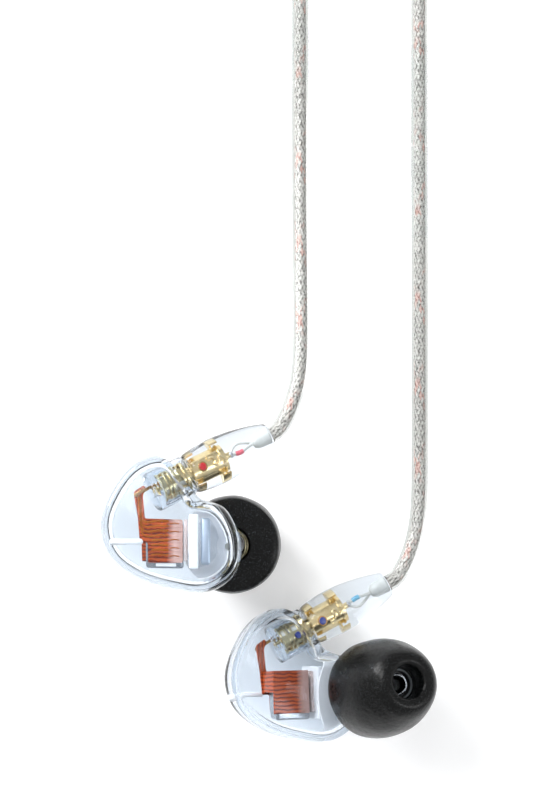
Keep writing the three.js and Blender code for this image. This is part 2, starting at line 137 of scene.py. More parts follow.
LEAD_RADIUS = 1.09
MAIN_RADIUS = 1.12
COIL_CENTRE = Vector((-5.8, 132, 0))
COIL_PITCH = 2.25
FIRST_LAYER = 1.975  # height of the lowest turns' centreline
RIGHT_TURNS = 17.5  # radius of the right lead's turns
LEFT_TURNS = 19.75
MAIN_TURNS = 15.25  # of the main cable's outermost column
SPLIT_CENTRE = Vector((-5.8, 150.62, 11.85))

RIGHT_ROUTE = [
    (0.18, 19.43, 13.37), (1.15, 20.05, 13.05), (2.2, 21.6, 12.55), (3, 23.5, 12),
    (3.7, 26, 11.2), (4.1, 29, 10.2), (4.2, 32, 9.2), (4.2, 37, 7.6), (4.15, 43.5, 5.5),
    (4.1, 50, 3.7), (4.1, 57, 2.2), (4.1, 63, 1.55), (4.1, 69, 1.4), (4.1, 75, 1.4),
    (4.2, 79.5, 1.4), (5, 84, 1.4), (6.9, 88.8, 1.4), (9.2, 92.8, 1.6), (10.6, 95.9, 1.95),
    (10.9, 98.6, 2.1), (10.9, 102, 2.1), (10.9, 106, 2.1), (10.9, 111, 2.1), (10.9, 115, 2.1),
    (10.95, 117.2, 2.05),
]
LEFT_ROUTE = [
    (15.64, -0.16, 3.7), (16.6, 0.42, 3.46), (17.6, 1.8, 3.1), (18.4, 3.5, 2.75),
    (19.15, 5.8, 2.35), (19.65, 8.7, 1.95), (19.85, 12, 1.6), (19.9, 18, 1.3), (19.9, 26, 1.2),
    (19.9, 36, 1.25), (19.9, 46, 1.4), (19.85, 58, 1.4), (19.85, 67, 1.4), (19.85, 74, 1.4),
    (19.8, 79.5, 1.4), (19.3, 84.5, 1.4), (17.7, 89.2, 1.4), (15.9, 92.8, 1.6),
    (14.6, 95.9, 1.95), (14.3, 98.6, 2.1), (14.3, 102, 2.1), (14.3, 107, 2.1),
    (14.3, 112, 2.1), (14.25, 116.5, 2.1), (14.1, 121.2, 2),
]
MAIN_TAIL_ROUTE = [
    (9.5, 134.6, 11.6), (15, 133, 12.3), (18, 130.4, 12.8), (18.8, 127.2, 13.2),
    (17.8, 124.6, 13.6), (15.8, 123.5, 13.75), (14.4, 123.5, 13.75), (12.6, 123.5, 13.75),
]
DEGREES_PER_POINT = 15


def on_coil(angle, radius, height):
    """A point at an angle in degrees round the coil."""
    a = math.radians(angle)
    return COIL_CENTRE + Vector((radius * math.cos(a), radius * math.sin(a), height))


def lead_points(route, radius, ending):
    """A lead's route, its three turns in the coil, and its way up to the Y-split."""
    points = [Vector(p) for p in route]
    for angle in range(0, 3 * 360 + 1, DEGREES_PER_POINT):
        layers_up = sum(eased(angle, 360 * n + 216, 360 * n + 300) for n in range(3))
        points.append(on_coil(angle, radius, FIRST_LAYER + COIL_PITCH * layers_up))
    points += [on_coil(angle, r, z) for angle, r, z in ending]
    return points


def main_points():
    """The main cable: from the Y-split over the coil's top, down and up through four columns of
    turns, and out over the top to the plug."""
    points = [SPLIT_CENTRE + Vector((x, 0, 0)) for x in (-3.6, -5.5, -7.2)]
    points += [
        on_coil(*p) for p in (
            (125, 19.2, 11.8), (140, 17.2, 11.35), (150, 15.9, 10.75), (160, 15.3, 9.7),
            (170, 15.25, 8.95),
        )
    ]
    for angle in range(180, 13 * 360 + 241, DEGREES_PER_POINT):
        column = eased(angle, 1230, 1295) + eased(angle, 2530, 2599) + eased(angle, 3750, 3815)
        layer = 3.0
        for turn, change, start, end in (
            (0, -1, 216, 300), (1, -1, 216, 300), (2, -1, 216, 300),
            (4, 1, 80, 149), (5, 1, 80, 149), (6, 1, 80, 149),
            (7, -1, 216, 300), (8, -1, 216, 300), (9, -1, 216, 300),
            (11, 1, 80, 149), (12, 1, 80, 149), (13, 1, 80, 149),
        ):
            layer += change * eased(angle, 360 * turn + start, 360 * turn + end)
        points.append(
            on_coil(angle, MAIN_TURNS - COIL_PITCH * column, FIRST_LAYER + COIL_PITCH * layer)
        )
    points += [
        on_coil(*p) for p in (
            (265, 8.5, 9.0), (285, 8.5, 9.8), (305, 8.5, 10.7), (325, 8.55, 11.5),
            (342, 8.7, 11.95),
        )
    ]
    points += [Vector(p) for p in ((3.2, 131.3, 12.05), (4.7, 133.3, 12.1), (6.9, 134.5, 11.95))]
    points += [Vector(p) for p in MAIN_TAIL_ROUTE]
    return points


CORD_LINES = {
    "right": catmull(lead_points(
        RIGHT_ROUTE, RIGHT_TURNS,
        ((12, 17.5, 8.9), (28, 17.55, 9.9), (44, 17.85, 11.1), (56, 18.3, 11.8),
         (66, 18.6, 11.85), (75, 18.1, 11.85), (83, 17.55, 11.85))), per_span=6),
    "left": catmull(lead_points(
        LEFT_ROUTE, LEFT_TURNS,
        ((12, 19.75, 8.9), (28, 19.8, 9.9), (44, 20.1, 11.1), (58, 20.6, 11.8),
         (66, 20.95, 11.85), (73.5, 20.7, 11.85), (82, 19.9, 11.85))), per_span=6),
    "main": catmull(main_points(), per_span=6),
}

# ---------------------------------------------------------------- meshes

WELD = 1e-4  # points nearer to each other than this are one


def make(name, points, faces, place=WORLD, sharp=38, uvs=None):
    """An object from points in millimetres in the frame given by place. Its points in that
    frame are kept as the attribute "local", which the materials read."""
    mesh = bpy.data.meshes.new(name)
    mesh.from_pydata([tuple(p) for p in points], [], faces)
    if uvs:
        layer = mesh.uv_layers.new(name="UVMap")
        for loop, uv in zip(layer.data, uvs):
            loop.uv = uv
    bm = bmesh.new()
    bm.from_mesh(mesh)
    bmesh.ops.remove_doubles(bm, verts=bm.verts, dist=WELD)
    bmesh.ops.dissolve_degenerate(bm, edges=bm.edges, dist=WELD / 4)
    bmesh.ops.recalc_face_normals(bm, faces=bm.faces)
    bm.to_mesh(mesh)
    bm.free()
    local = mesh.attributes.new("local", "FLOAT_VECTOR", "POINT")
    local.data.foreach_set("vector", [c for v in mesh.vertices for c in v.co])
    mesh.transform(TO_METRES @ place)
    if place.determinant() < 0:
        mesh.flip_normals()
    mesh.polygons.foreach_set("use_smooth", [True] * len(mesh.polygons))
    mesh.set_sharp_from_angle(angle=math.radians(sharp))
    obj = bpy.data.objects.new(name, mesh)
    bpy.context.scene.collection.objects.link(obj)
    return obj


def rounded(profile, radius, closed=True, steps=3):
    """A polygon with its corners rounded."""
    p = [Vector(q) for q in profile]
    n = len(p)
    out = []
    for i, corner in enumerate(p):
        if not closed and i in (0, n - 1):
            out.append(corner)
            continue
        before, after = p[i - 1] - corner, p[(i + 1) % n] - corner
        cut = min(radius, before.length * 0.45, after.length * 0.45)
        a, b = corner + before.normalized() * cut, corner + after.normalized() * cut
        for k in range(steps + 1):
            t = k / steps
            out.append(a * (1 - t) ** 2 + corner * 2 * t * (1 - t) + b * t * t)
    return out


def lathe(profile, sides, start=0, turn=360):
    """Points and faces of a body of revolution about z, from (radius, height) pairs. They form
    a ring's closed section, or start and end on the axis."""
    closed = profile[0][0] > 1e-6
    whole = turn == 360
    columns = sides if whole else sides + 1
    points, faces = [], []
    for k in range(columns):
        a = math.radians(start + turn * k / sides)
        points += [(r * math.cos(a), r * math.sin(a), z) for r, z in profile]
    n = len(profile)
    for k in range(sides):
        a, b = k * n, ((k + 1) % columns) * n
        for i in range(n if closed else n - 1):
            j = (i + 1) % n
            faces.append((a + i, b + i, b + j, a + j))
    if not whole:
        faces += [tuple(range(n)), tuple(range(sides * n, sides * n + n))]
    return points, faces


def turned(profile, edge, sides=72, start=0, turn=360):
    """A lathed body with rounded corners, hollow unless its profile starts on the axis."""
    return lathe(rounded(profile, edge, closed=profile[0][0] > 0), sides, start, turn)


def pipe(inner, outer, low, high, edge=0.06):
    return turned([(inner, low), (outer, low), (outer, high), (inner, high)], edge)


def rod(radius, low, high, sides=32, edge=0.06):
    return turned([(0, low), (radius, low), (radius, high), (0, high)], edge, sides)


def drill(radius, low, high, sides=48):
    """A sharp-edged cylinder to cut with."""
    return lathe([(0, low), (radius, low), (radius, high), (0, high)], sides)


def joined(*shapes):
    points, faces = [], []
    for shape_points, shape_faces in shapes:
        offset = len(points)
        points += [tuple(p) for p in shape_points]
        faces += [tuple(i + offset for i in face) for face in shape_faces]
    return points, faces


def moved(shape, matrix):
    return [matrix @ Vector(p) for p in shape[0]], shape[1]


def shape_of(bm):
    """A bmesh's points and faces. The bmesh is freed."""
    bm.verts.index_update()
    shape = [v.co.copy() for v in bm.verts], [tuple(v.index for v in f.verts) for f in bm.faces]
    bm.free()
    return shape


def rounded_block(low, high, edge):
    """A box with every edge rounded."""
    bm = bmesh.new()
    bmesh.ops.create_cube(bm, size=1)
    for v in bm.verts:
        v.co = Vector((low[i] if v.co[i] < 0 else high[i]) for i in range(3))
    bmesh.ops.bevel(
        bm, geom=bm.edges[:], offset=edge, segments=4, profile=0.5, affect="EDGES",
        clamp_overlap=True)
    return shape_of(bm)


def skin(rows, ring=False, capped=True):
    """Points and faces through rows of points, each a closed loop of the same length. In a ring
    the last row is joined to the first. Otherwise both may be capped."""
    n, count = len(rows[0]), len(rows)
    points = [p for row in rows for p in row]
    faces = [
        (i * n + k, i * n + (k + 1) % n, (i + 1) % count * n + (k + 1) % n, (i + 1) % count * n + k)
        for i in range(count if ring else count - 1) for k in range(n)]
    if capped and not ring:
        faces += [tuple(range(n)), tuple(range((count - 1) * n, count * n))]
    return points, faces


def frames_along(line):
    """A tangent, side and upward direction at each point, turning as little as they can."""
    tangents = [
        (line[min(i + 1, len(line) - 1)] - line[max(i - 1, 0)]).normalized()
        for i in range(len(line))
    ]
    side = tangents[0].orthogonal().normalized()
    if abs(tangents[0].z) < 0.9:
        side = tangents[0].cross(UP).normalized()
    out = []
    for tangent in tangents:
        side = (side - tangent * side.dot(tangent)).normalized()
        out.append((tangent, side, tangent.cross(side).normalized()))
    return out


def sweep(line, section):
    """A section of (side, up) pairs drawn along a line."""
    return skin([
        [p + side * a + up * b for a, b in section]
        for p, (_, side, up) in zip(line, frames_along(line))
    ])


def circle(radius, sides):
    return [
        (radius * math.cos(2 * math.pi * k / sides), radius * math.sin(2 * math.pi * k / sides))
        for k in range(sides)
    ]


def wire(points, radius):
    return sweep(even(catmull(points), radius * 0.8), circle(radius, 14))


def ribbon(points, width, thickness):
    w, t = width / 2, thickness / 2
    section = rounded([(-w, -t), (w, -t), (w, t), (-w, t)], min(width, thickness) * 0.3)
    return sweep(even(catmull(points), 0.12), section)


def combine(first, operation, *others):
    """The first object with the others joined to it or cut from it."""
    for other in others:
        modifier = first.modifiers.new("boolean", "BOOLEAN")
        modifier.operation = operation
        modifier.solver = "EXACT"
        modifier.object = other
        bpy.context.view_layer.update()
        result = bpy.data.meshes.new_from_object(
            first.evaluated_get(bpy.context.evaluated_depsgraph_get()))
        first.modifiers.clear()
        old = first.data
        first.data = result
        bpy.data.meshes.remove(old)
        bpy.data.objects.remove(other)
    return first


def resharpened(obj, degrees):
    obj.data.polygons.foreach_set("use_smooth", [True] * len(obj.data.polygons))
    obj.data.set_sharp_from_angle(angle=math.radians(degrees))
    return obj


# ---------------------------------------------------------------- material helpers


def colour(code):
    """A hex colour as linear light."""
    parts = [int(code[i:i + 2], 16) / 255 for i in (0, 2, 4)]
    return [p / 12.92 if p <= 0.04045 else ((p + 0.055) / 1.055) ** 2.4 for p in parts] + [1]


class Nodes:
    """The node tree of a new material."""

    def __init__(self, name):
        self.material = bpy.data.materials.new(name)
        self.material.use_nodes = True
        self.tree = self.material.node_tree
        self.tree.nodes.clear()

    def add(self, kind, inputs=None, output=0, **settings):
        made = self.tree.nodes.new("ShaderNode" + kind)
        for key, value in settings.items():
            setattr(made, key, value)
        for key, value in (inputs or {}).items():
            if isinstance(value, bpy.types.NodeSocket):
                self.tree.links.new(value, made.inputs[key])
            else:
                made.inputs[key].default_value = value
        return made.outputs[output]

    def math(self, operation, a, b=0.0, clamp=False):
        return self.add("Math", {0: a, 1: b}, operation=operation, use_clamp=clamp)

    def times(self, a, b, clamp=False):
        return self.math("MULTIPLY", a, b, clamp)

    def plus(self, a, b, clamp=False):
        return self.math("ADD", a, b, clamp)

    def wave(self, value, rate):
        """Rounded ridges across a value."""
        return self.math("ABSOLUTE", self.math("SINE", self.times(value, rate)))

    def xyz(self, vector):
        made = self.tree.nodes.new("ShaderNodeSeparateXYZ")
        self.tree.links.new(vector, made.inputs[0])
        return made.outputs

    def cells(self, vector, scale, randomness=1.0):
        return self.add("TexVoronoi", {"Vector": vector, "Scale": scale,
                                       "Randomness": randomness}, feature="F1")

    def mix(self, factor, a, b):
        made = self.tree.nodes.new("ShaderNodeMix")
        made.data_type = "RGBA"
        for key, value in ((0, factor), (6, a), (7, b)):
            if isinstance(value, bpy.types.NodeSocket):
                self.tree.links.new(value, made.inputs[key])
            else:
                made.inputs[key].default_value = value
        return made.outputs[2]

    def ramp(self, value, *stops):
        made = self.tree.nodes.new("ShaderNodeValToRGB")
        elements = made.color_ramp.elements
        while len(elements) < len(stops):
            elements.new(0.5)
        for element, (at, tint) in zip(elements, stops):
            element.position = at
            element.color = colour(tint) if isinstance(tint, str) else (tint, tint, tint, 1)
        self.tree.links.new(value, made.inputs[0])
        return made.outputs[0]

    def local(self):
        return self.add("Attribute", output=1, attribute_name="local")

    def place(self):
        """Where a point is in the row frame at rest, in millimetres."""
        where = self.add("TexCoord", output=3)
        return self.add("VectorMath", {0: where, "Scale": 1000.0}, operation="SCALE")

    def noise(self, vector, scale, detail=3.0, roughness=0.5):
        return self.add("TexNoise", {"Vector": vector, "Scale": scale, "Detail": detail,
                                     "Roughness": roughness})

    def between(self, value, low, high, start=0.0, end=1.0):
        """A value that runs from low to high as the given one runs from start to end."""
        return self.add("MapRange", {0: value, 1: start, 2: end, 3: low, 4: high})

    def bump(self, height, strength, distance, normal=None):
        inputs = {"Height": height, "Strength": strength, "Distance": distance * MM}
        if normal:
            inputs["Normal"] = normal
        return self.add("Bump", inputs)

    def surface(self, inputs):
        return self.add("BsdfPrincipled", inputs)

    def lets_lamps_through(self, shader, shade):
        """The shader, but with plain shadows that let the given share of the light pass."""
        through = self.add("BsdfTransparent", {"Color": (shade, shade, shade, 1)})
        is_shadow = self.add("LightPath", output=1)
        return self.add("MixShader", {0: is_shadow, 1: shader, 2: through})

    def done(self, shader):
        out = self.tree.nodes.new("ShaderNodeOutputMaterial")
        self.tree.links.new(shader, out.inputs["Surface"])
        return self.material


def clear_plastic(name, tint, ior, shade, rough=0.03):
    """Clear moulded plastic that lets the lamps through."""
    n = Nodes(name)
    where = n.place()
    flow = n.noise(where, 0.35, 2.0)
    smudge = n.between(n.noise(where, 0.9, 4.0), rough * 0.5, rough * 1.5)
    shader = n.surface({
        "Base Color": colour(tint), "Roughness": smudge, "IOR": ior, "Transmission Weight": 1.0,
        "Normal": n.bump(flow, 0.6, 0.02),
    })
    return n.done(n.lets_lamps_through(shader, shade))


def milky_plastic(name, tint, rough, weight):
    """Translucent plastic with a soft haze in it."""
    n = Nodes(name)
    haze = n.noise(n.place(), 1.3, 4.0)
    shader = n.surface({
        "Base Color": n.mix(haze, colour(tint), colour("ffffff")),
        "Roughness": n.between(haze, rough * 0.7, rough * 1.3), "IOR": 1.4,
        "Transmission Weight": weight, "Coat Weight": 0.3, "Coat Roughness": 0.08,
    })
    return n.done(n.lets_lamps_through(shader, 0.9))


def metal(name, dark, light, rough, streak=(1, 1, 6)):
    """Plated or drawn metal with fine tool marks and a slightly uneven tone."""
    n = Nodes(name)
    where = n.local()
    tone = n.noise(where, 0.8, 3.0)
    stretched = n.add("Mapping", {"Vector": where, "Scale": streak})
    marks = n.noise(stretched, 40.0, 2.0)
    return n.done(n.surface({
        "Base Color": n.mix(tone, colour(dark), colour(light)), "Metallic": 1.0,
        "Roughness": n.between(marks, rough * 0.7, rough * 1.4),
        "Normal": n.bump(marks, 0.25, 0.01),
    }))


def moulded(name, dark, light, rough, texture=30.0, depth=0.01, coat=0.0):
    """Opaque moulded plastic or rubber with a fine surface texture."""
    n = Nodes(name)
    where = n.place()
    tone = n.noise(where, 0.7, 4.0)
    fine = n.noise(where, texture, 3.0)
    return n.done(n.surface({
        "Base Color": n.mix(tone, colour(dark), colour(light)),
        "Roughness": n.between(fine, rough * 0.8, rough * 1.2),
        "Coat Weight": coat, "Coat Roughness": 0.15,
        "Normal": n.bump(fine, 0.4, depth),
    }))


def foam_material():
    """Slow-recovery foam: a tight black skin with fine open pores, and light-grey glints painted on
    it as specks.
    """
    n = Nodes("black_foam")
    where = n.place()
    tone = n.noise(where, 0.5, 4.0)
    pit = n.plus(n.ramp(n.cells(where, 4.6), (0.0, 0.0), (0.34, 1.0)),
                 n.ramp(n.cells(where, 9.5), (0.0, 0.0), (0.3, 1.0)))
    # Light-grey specks are painted into the foam's colour as glints off its pores. The pores'
    # centres are left without them.
    painted_glint = n.ramp(n.noise(where, 6.5, 2.0), (0.6, 0.0), (0.7, 1.0))
    body = n.mix(tone, colour("020202"), colour("050606"))
    with_painted_glints = n.mix(n.times(painted_glint, 0.2), body, colour("6a7175"))
    shade = n.mix(n.times(pit, 0.5, clamp=True), colour("070809"), with_painted_glints)
    return n.done(n.surface({
        "Base Color": shade, "Roughness": n.between(tone, 0.22, 0.3),
        "Specular IOR Level": 0.22,
        "Normal": n.bump(pit, 0.6, 0.05, n.bump(n.noise(where, 1.6, 4.0), 0.4, 0.09)),
    }))


def braid_material():
    """Silver wire braided in herringbone, with copper strands in places. The UV map gives the
    length in strand pitches and the turn round the cable."""
    n = Nodes("braid")
    uv = n.add("UVMap", uv_map="UVMap")
    along, around, _ = n.xyz(uv)
    strands = 8.0
    turn = n.times(around, strands)
    wobble = n.times(n.noise(uv, 2.2, 2.0), 0.35)
    left = n.plus(n.plus(along, turn), wobble)
    right = n.math("SUBTRACT", n.plus(along, wobble), turn)
    over = n.math("GREATER_THAN", n.times(
        n.math("SINE", n.times(left, math.pi)), n.math("SINE", n.times(right, math.pi))), 0.0)
    under = n.math("SUBTRACT", 1.0, over)

    def ridges(count):
        """The ridges of whichever strand lies on top."""
        rate = math.pi * count
        return n.plus(n.times(over, n.wave(left, rate)), n.times(under, n.wave(right, rate)))

    fine, band = ridges(4.0), ridges(1.0)
    height = n.plus(n.times(fine, 0.35), n.times(band, 0.65))
    grain = n.noise(n.place(), 2.9, 4.0, 0.7)
    # The colour follows the strands' relief: painted shade in the grooves between strands and
    # painted highlight on their crests, plus random grain.
    tone = n.plus(n.times(height, 0.7), n.between(grain, -0.8, 0.95))
    silver = n.ramp(
        tone, (0.14, "454442"), (0.33, "969491"), (0.52, "cfcdca"), (0.78, "f3f2f0"))
    copper = n.ramp(tone, (0.14, "85605a"), (0.4, "d9a096"), (0.8, "f2d3cb"))

    def strand(value, offset):
        place = n.math("FRACT", n.math("DIVIDE", n.plus(value, offset), strands))
        return n.math("LESS_THAN", place, 1.5 / strands)

    is_copper = n.plus(n.times(over, strand(left, 0.0), clamp=True),
                       n.times(under, strand(right, 2.0)), clamp=True)
    sparse = n.times(is_copper, n.ramp(n.noise(uv, 0.45, 2.0), (0.42, 0.05), (0.58, 0.8)))
    return n.done(n.surface({
        "Base Color": n.mix(sparse, silver, copper), "Metallic": 0.35,
        "Roughness": n.between(fine, 0.45, 0.28),
        "Normal": n.bump(height, 0.8, 0.12),
    }))


def flex_material():
    """Orange polyimide film that pales to pink past its traces."""
    n = Nodes("flex_film")
    where = n.local()
    x, y, _ = n.xyz(where)
    drift = n.noise(where, 0.8, 3.0)
    on_tail = n.between(y, 0.0, 1.0, 0.3, 0.7)
    rows = n.plus(n.plus(n.times(n.math("SUBTRACT", 1.0, on_tail), n.times(y, 1.9)),
                         n.times(on_tail, n.times(x, 2.0))), n.times(drift, 1.4))
    wave = n.wave(rows, math.pi)
    orange = n.ramp(wave, (0.05, "3f1002"), (0.3, "702206"), (0.6, "98380b"), (0.95, "b54d18"))
    pink = n.mix(drift, colour("9f766b"), colour("d8b5ab"))
    past = n.between(x, 0.0, 1.0, -0.5, 0.5)
    return n.done(n.surface({
        "Base Color": n.mix(past, orange, pink), "Roughness": n.between(drift, 0.22, 0.4),
        "Coat Weight": 0.25, "Coat Roughness": 0.08, "Normal": n.bump(wave, 0.3, 0.03),
    }))


def mesh_cloth_material():
    """A damper's fine woven screen."""
    n = Nodes("damper_mesh")
    x, y, _ = n.xyz(n.local())
    weave = n.math("MAXIMUM", n.wave(x, 22.0), n.wave(y, 22.0))
    return n.done(n.surface({
        "Base Color": n.ramp(weave, (0.4, "a9b3ac"), (0.75, "d3dad5"), (1.0, "eef1ef")),
        "Roughness": n.between(weave, 0.7, 0.45), "Normal": n.bump(weave, 0.8, 0.03),
    }))


def webbing_material():
    """Black hook-and-loop strap."""
    n = Nodes("black_tie")
    where = n.place()
    loops = n.cells(where, 2.6, 0.8)
    tone = n.noise(where, 0.9, 3.0)
    fuzz = n.noise(where, 9.0, 4.0)
    height = n.plus(n.times(loops, 0.8), n.times(fuzz, 0.6))
    # The strap's colour follows this relief: painted shade in the loops' hollows and lighter loop
    # tops, over a random tone.
    return n.done(n.surface({
        "Base Color": n.ramp(n.plus(n.times(tone, 0.4), height),
                             (0.2, "08090a"), (0.9, "25282a"), (1.0, "303437")),
        "Roughness": n.between(fuzz, 0.75, 0.95), "Sheen Weight": 0.35,
        "Sheen Roughness": 0.5, "Normal": n.bump(height, 0.8, 0.15),
    }))


MATERIALS = {
    "clear_shell": clear_plastic("clear_shell", "e5ebf1", 1.18, shade=0.99),
    "clear_nozzle": clear_plastic("clear_nozzle", "f4f6f8", 1.42, shade=0.97),
    "clear_overmould": clear_plastic("clear_overmould", "e2e8ee", 1.32, shade=0.99, rough=0.04),
    "clear_slider": clear_plastic("clear_slider", "eef1f4", 1.42, shade=0.95, rough=0.06),
    "clear_split": clear_plastic("clear_split", "eef1f4", 1.4, shade=0.95, rough=0.06),
    "jacket": clear_plastic("jacket", "cdcfcd", 1.36, shade=0.98, rough=0.05),
    "shrink_tube": clear_plastic("shrink_tube", "f8f9f9", 1.14, shade=1.0, rough=0.06),
    "gold_plate": metal("gold_plate", "e6c584", "fdf0c9", 0.22),
    "brass_ring": metal("brass_ring", "8f8560", "cfc29a", 0.3),
    "steel_can": metal("steel_can", "9a9da2", "cfd2d6", 0.26, streak=(1, 8, 1)),
    "bronze": metal("bronze", "8a5a24", "d9b27c", 0.25),
    "white_silicone": moulded("white_silicone", "eef1f5", "fbfcfd", 0.45, coat=0.2),
    "white_dielectric": moulded("white_dielectric", "ece9e0", "faf8f2", 0.4, coat=0.2),
    "grey_can": metal("grey_can", "a9b6c6", "d2dbe6", 0.4, streak=(8, 1, 1)),
    "flex_film": flex_material(),
    "trace": metal("trace", "a24f1d", "de8a45", 0.3),
    "damper_mesh": mesh_cloth_material(),
    "black_foam": foam_material(),
    "black_core": moulded("black_core", "101112", "26292b", 0.35, texture=12.0),
    "grey_ring": moulded("grey_ring", "50565a", "7a8185", 0.3),
    "red_mark": moulded("red_mark", "9c0f18", "c9222b", 0.3, coat=0.5),
    "blue_mark": moulded("blue_mark", "16256e", "2d44a8", 0.3, coat=0.5),
    "red_wire": moulded("red_wire", "c93f52", "e77c8a", 0.35, coat=0.3),
    "blue_wire": moulded("blue_wire", "4e9cc4", "8fcbe4", 0.35, coat=0.3),
    "pale_wire": moulded("pale_wire", "b9bdbb", "dadcd9", 0.35, coat=0.3),
    "strain": moulded("strain", "b4b8b7", "dcdfdd", 0.4, texture=6.0, depth=0.03),
    "frosted_horn": milky_plastic("frosted_horn", "fbfcff", 0.4, 0.1),
    "pink_film": milky_plastic("pink_film", "e2bdb2", 0.15, 0.6),
    "braid": braid_material(),
    "black_tie": webbing_material(),
    "black_grip": moulded("black_grip", "121314", "212425", 0.42, texture=18.0, depth=0.02),
    "black_insulator": moulded("black_insulator", "0c0d0e", "1b1d1f", 0.3, coat=0.2),
}


def piece(name, shape, body, slot, place=WORLD, material=None, replaced=(), sharp=38):
    """A finished piece: its mesh, its material (the slot's, unless another is named) and the body
    it rides on.
    """
    obj = make(name, *shape, place=place, sharp=sharp) if isinstance(shape, tuple) else shape
    obj.data.materials.clear()
    obj.data.materials.append(MATERIALS[material or slot])
    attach(obj, body)
    if replaced:
        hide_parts(*replaced)
    return obj


def pieces_of(side, body, place):
    """A way to make one earphone's pieces on one body in one frame, with the node that each
    stands for, if any."""
    def put(name, shape, slot, node=None, **others):
        replaced = [f"{side}_{node}"] if node else ()
        return piece(f"{side}_{name}", shape, body, slot, replaced=replaced,
                     **{"place": place, **others})
    return put


# ---------------------------------------------------------------- cords

SHRINK_STARTS = {"right": 49.4, "left": 47}  # along each lead, from its connector
SHRINK_GAP = 0.3
SHRINK_WALL = 0.17
SHRINKS = ((12.4, 1.34), (13.4, 1.27))  # length with the gap after it, and radius
CORE_SHARE = 0.52  # braid's radius, as a share of the jacket's
STRAND_PITCH = 1.425


def jacket(name, line, radius):
    """The cable's clear jacket, as a round curve along its centreline."""
    curve = bpy.data.curves.new(name, "CURVE")
    curve.dimensions = "3D"
    curve.bevel_depth = radius * MM
    curve.bevel_resolution = 6
    curve.use_fill_caps = True
    spline = curve.splines.new("POLY")
    points = even(line, 0.8)
    spline.points.add(len(points) - 1)
    for target, p in zip(spline.points, points):
        target.co = (*(p * MM), 1)
    obj = bpy.data.objects.new(name, curve)
    bpy.context.scene.collection.objects.link(obj)
    curve.materials.append(MATERIALS["jacket"])
    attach(obj, "cable")
    return obj


def braid(name, line, radius):
    """The braid inside the jacket, with its length and turn as a UV map."""
    sides = 20
    points = even(line, 0.5)
    along = [0.0]
    for a, b in zip(points, points[1:]):
        along.append(along[-1] + (b - a).length)
    along = [distance / STRAND_PITCH for distance in along]
    uvs = [
        corner for a, b in zip(along, along[1:]) for k in range(sides)
        for corner in ((a, k / sides), (a, (k + 1) / sides), (b, (k + 1) / sides), (b, k / sides))]
    uvs += [(0, 0)] * (2 * sides)
    obj = make(name, *sweep(points, circle(radius, sides)), uvs=uvs)
    return piece(name, obj, "cable", "braided_cable", material="braid")


def cable(name, key, radius, replaced):
    line = CORD_LINES[key]
    outer = jacket(name, line, radius)
    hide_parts(*replaced)
    braid(f"{name}_braid", line, radius * CORE_SHARE)
    return outer, length_of(line) * MM


def shrink_sleeve(side, index, start, length, radius):
    line = even(stretch_of(CORD_LINES[side], start, start + length - SHRINK_GAP), 0.4)
    stations = list(zip(line, frames_along(line)))
    last = len(line) - 1
    outer = [radius - (0.05 if i in (0, last) else 0) for i in range(last + 1)]
    inner = [radius - SHRINK_WALL] * (last + 1)
    rows = [
        [at + across * a + up * b for a, b in circle(r, 40)]
        for (at, (_, across, up)), r in zip(stations + stations[::-1], outer + inner)]
    return piece(
        f"{side}_shrink_tube_{index}", skin(rows, ring=True), "cable", "shrink_tube",
        replaced=[f"{side}_shrink_{index}"])


def leads():
    made = {}
    for side in ("right", "left"):
        made[side] = cable(
            f"{side}_lead_jacket", side, LEAD_RADIUS, [f"{side}_lead", f"{side}_lead_upper"])
        start = SHRINK_STARTS[side]
        for index, (length, radius) in enumerate(SHRINKS, 1):
            shrink_sleeve(side, index, start, length, radius)
            start += length
    made["main"] = cable("main_jacket", "main", MAIN_RADIUS, ["main_lead_tail", "cable_coil"])
    return made


# ---------------------------------------------------------------- earphone frames and outline

SEAM = 0.05  # visible gap at the parting plane
FACE_WALL = 0.9
EDGE_WALL = 1.3
OUTER_RISE = 6.3
INNER_RISE = 5.6
ROUNDNESS = 2.7
RIM = 0.12  # how far the halves' edges are rounded
BODY_OUTLINE = [
    (-1.4, 8.6), (-4.7, 7.6), (-7.7, 3.9), (-9.05, -0.4), (-7.9, -4.3), (-4.4, -7.1),
    (0.6, -8.6), (5.3, -8.7), (8.4, -6.4), (9.05, -2.6), (7.2, 1.7), (3.5, 3.4), (1.6, 6),
]
JOINT = Vector((2.1, 6.2, -0.2))
CABLE_AZIMUTH = 27
CABLE_LEAN = 14
BARREL_RADIUS = 2.65
BARREL_DEPTH = 5.3
SOCKET_RADIUS = 1.95
GAP = 0.3
HORN_RADIUS = 6.5  # of the frosted liner round the nozzle
HORN_WALL = 0.3
HORN_GAP = 0.12
NOZZLE_BASE = Vector((7.75, -2.5, -6.2))
NOZZLE_TILT = 5
PLACES = {
    "right": {"at": (-12.6, 8.11), "turn": (-5, 0, 0), "mirror": 1},
    "left": {"at": (3.16, -11.97), "turn": (-5, 26.5, 2), "mirror": -1},
}


def connector_frame():
    azimuth, lean = math.radians(CABLE_AZIMUTH), math.radians(CABLE_LEAN)
    along = Vector((
        math.cos(lean) * math.cos(azimuth), math.cos(lean) * math.sin(azimuth),
        -math.sin(lean)))
    turn = UP.rotation_difference(along)
    return Matrix.Translation(JOINT) @ turn.to_matrix().to_4x4()


CONNECTOR = connector_frame()
NOZZLE = Matrix.Translation(NOZZLE_BASE) @ Matrix.Rotation(
    math.pi + math.radians(NOZZLE_TILT), 4, "X")


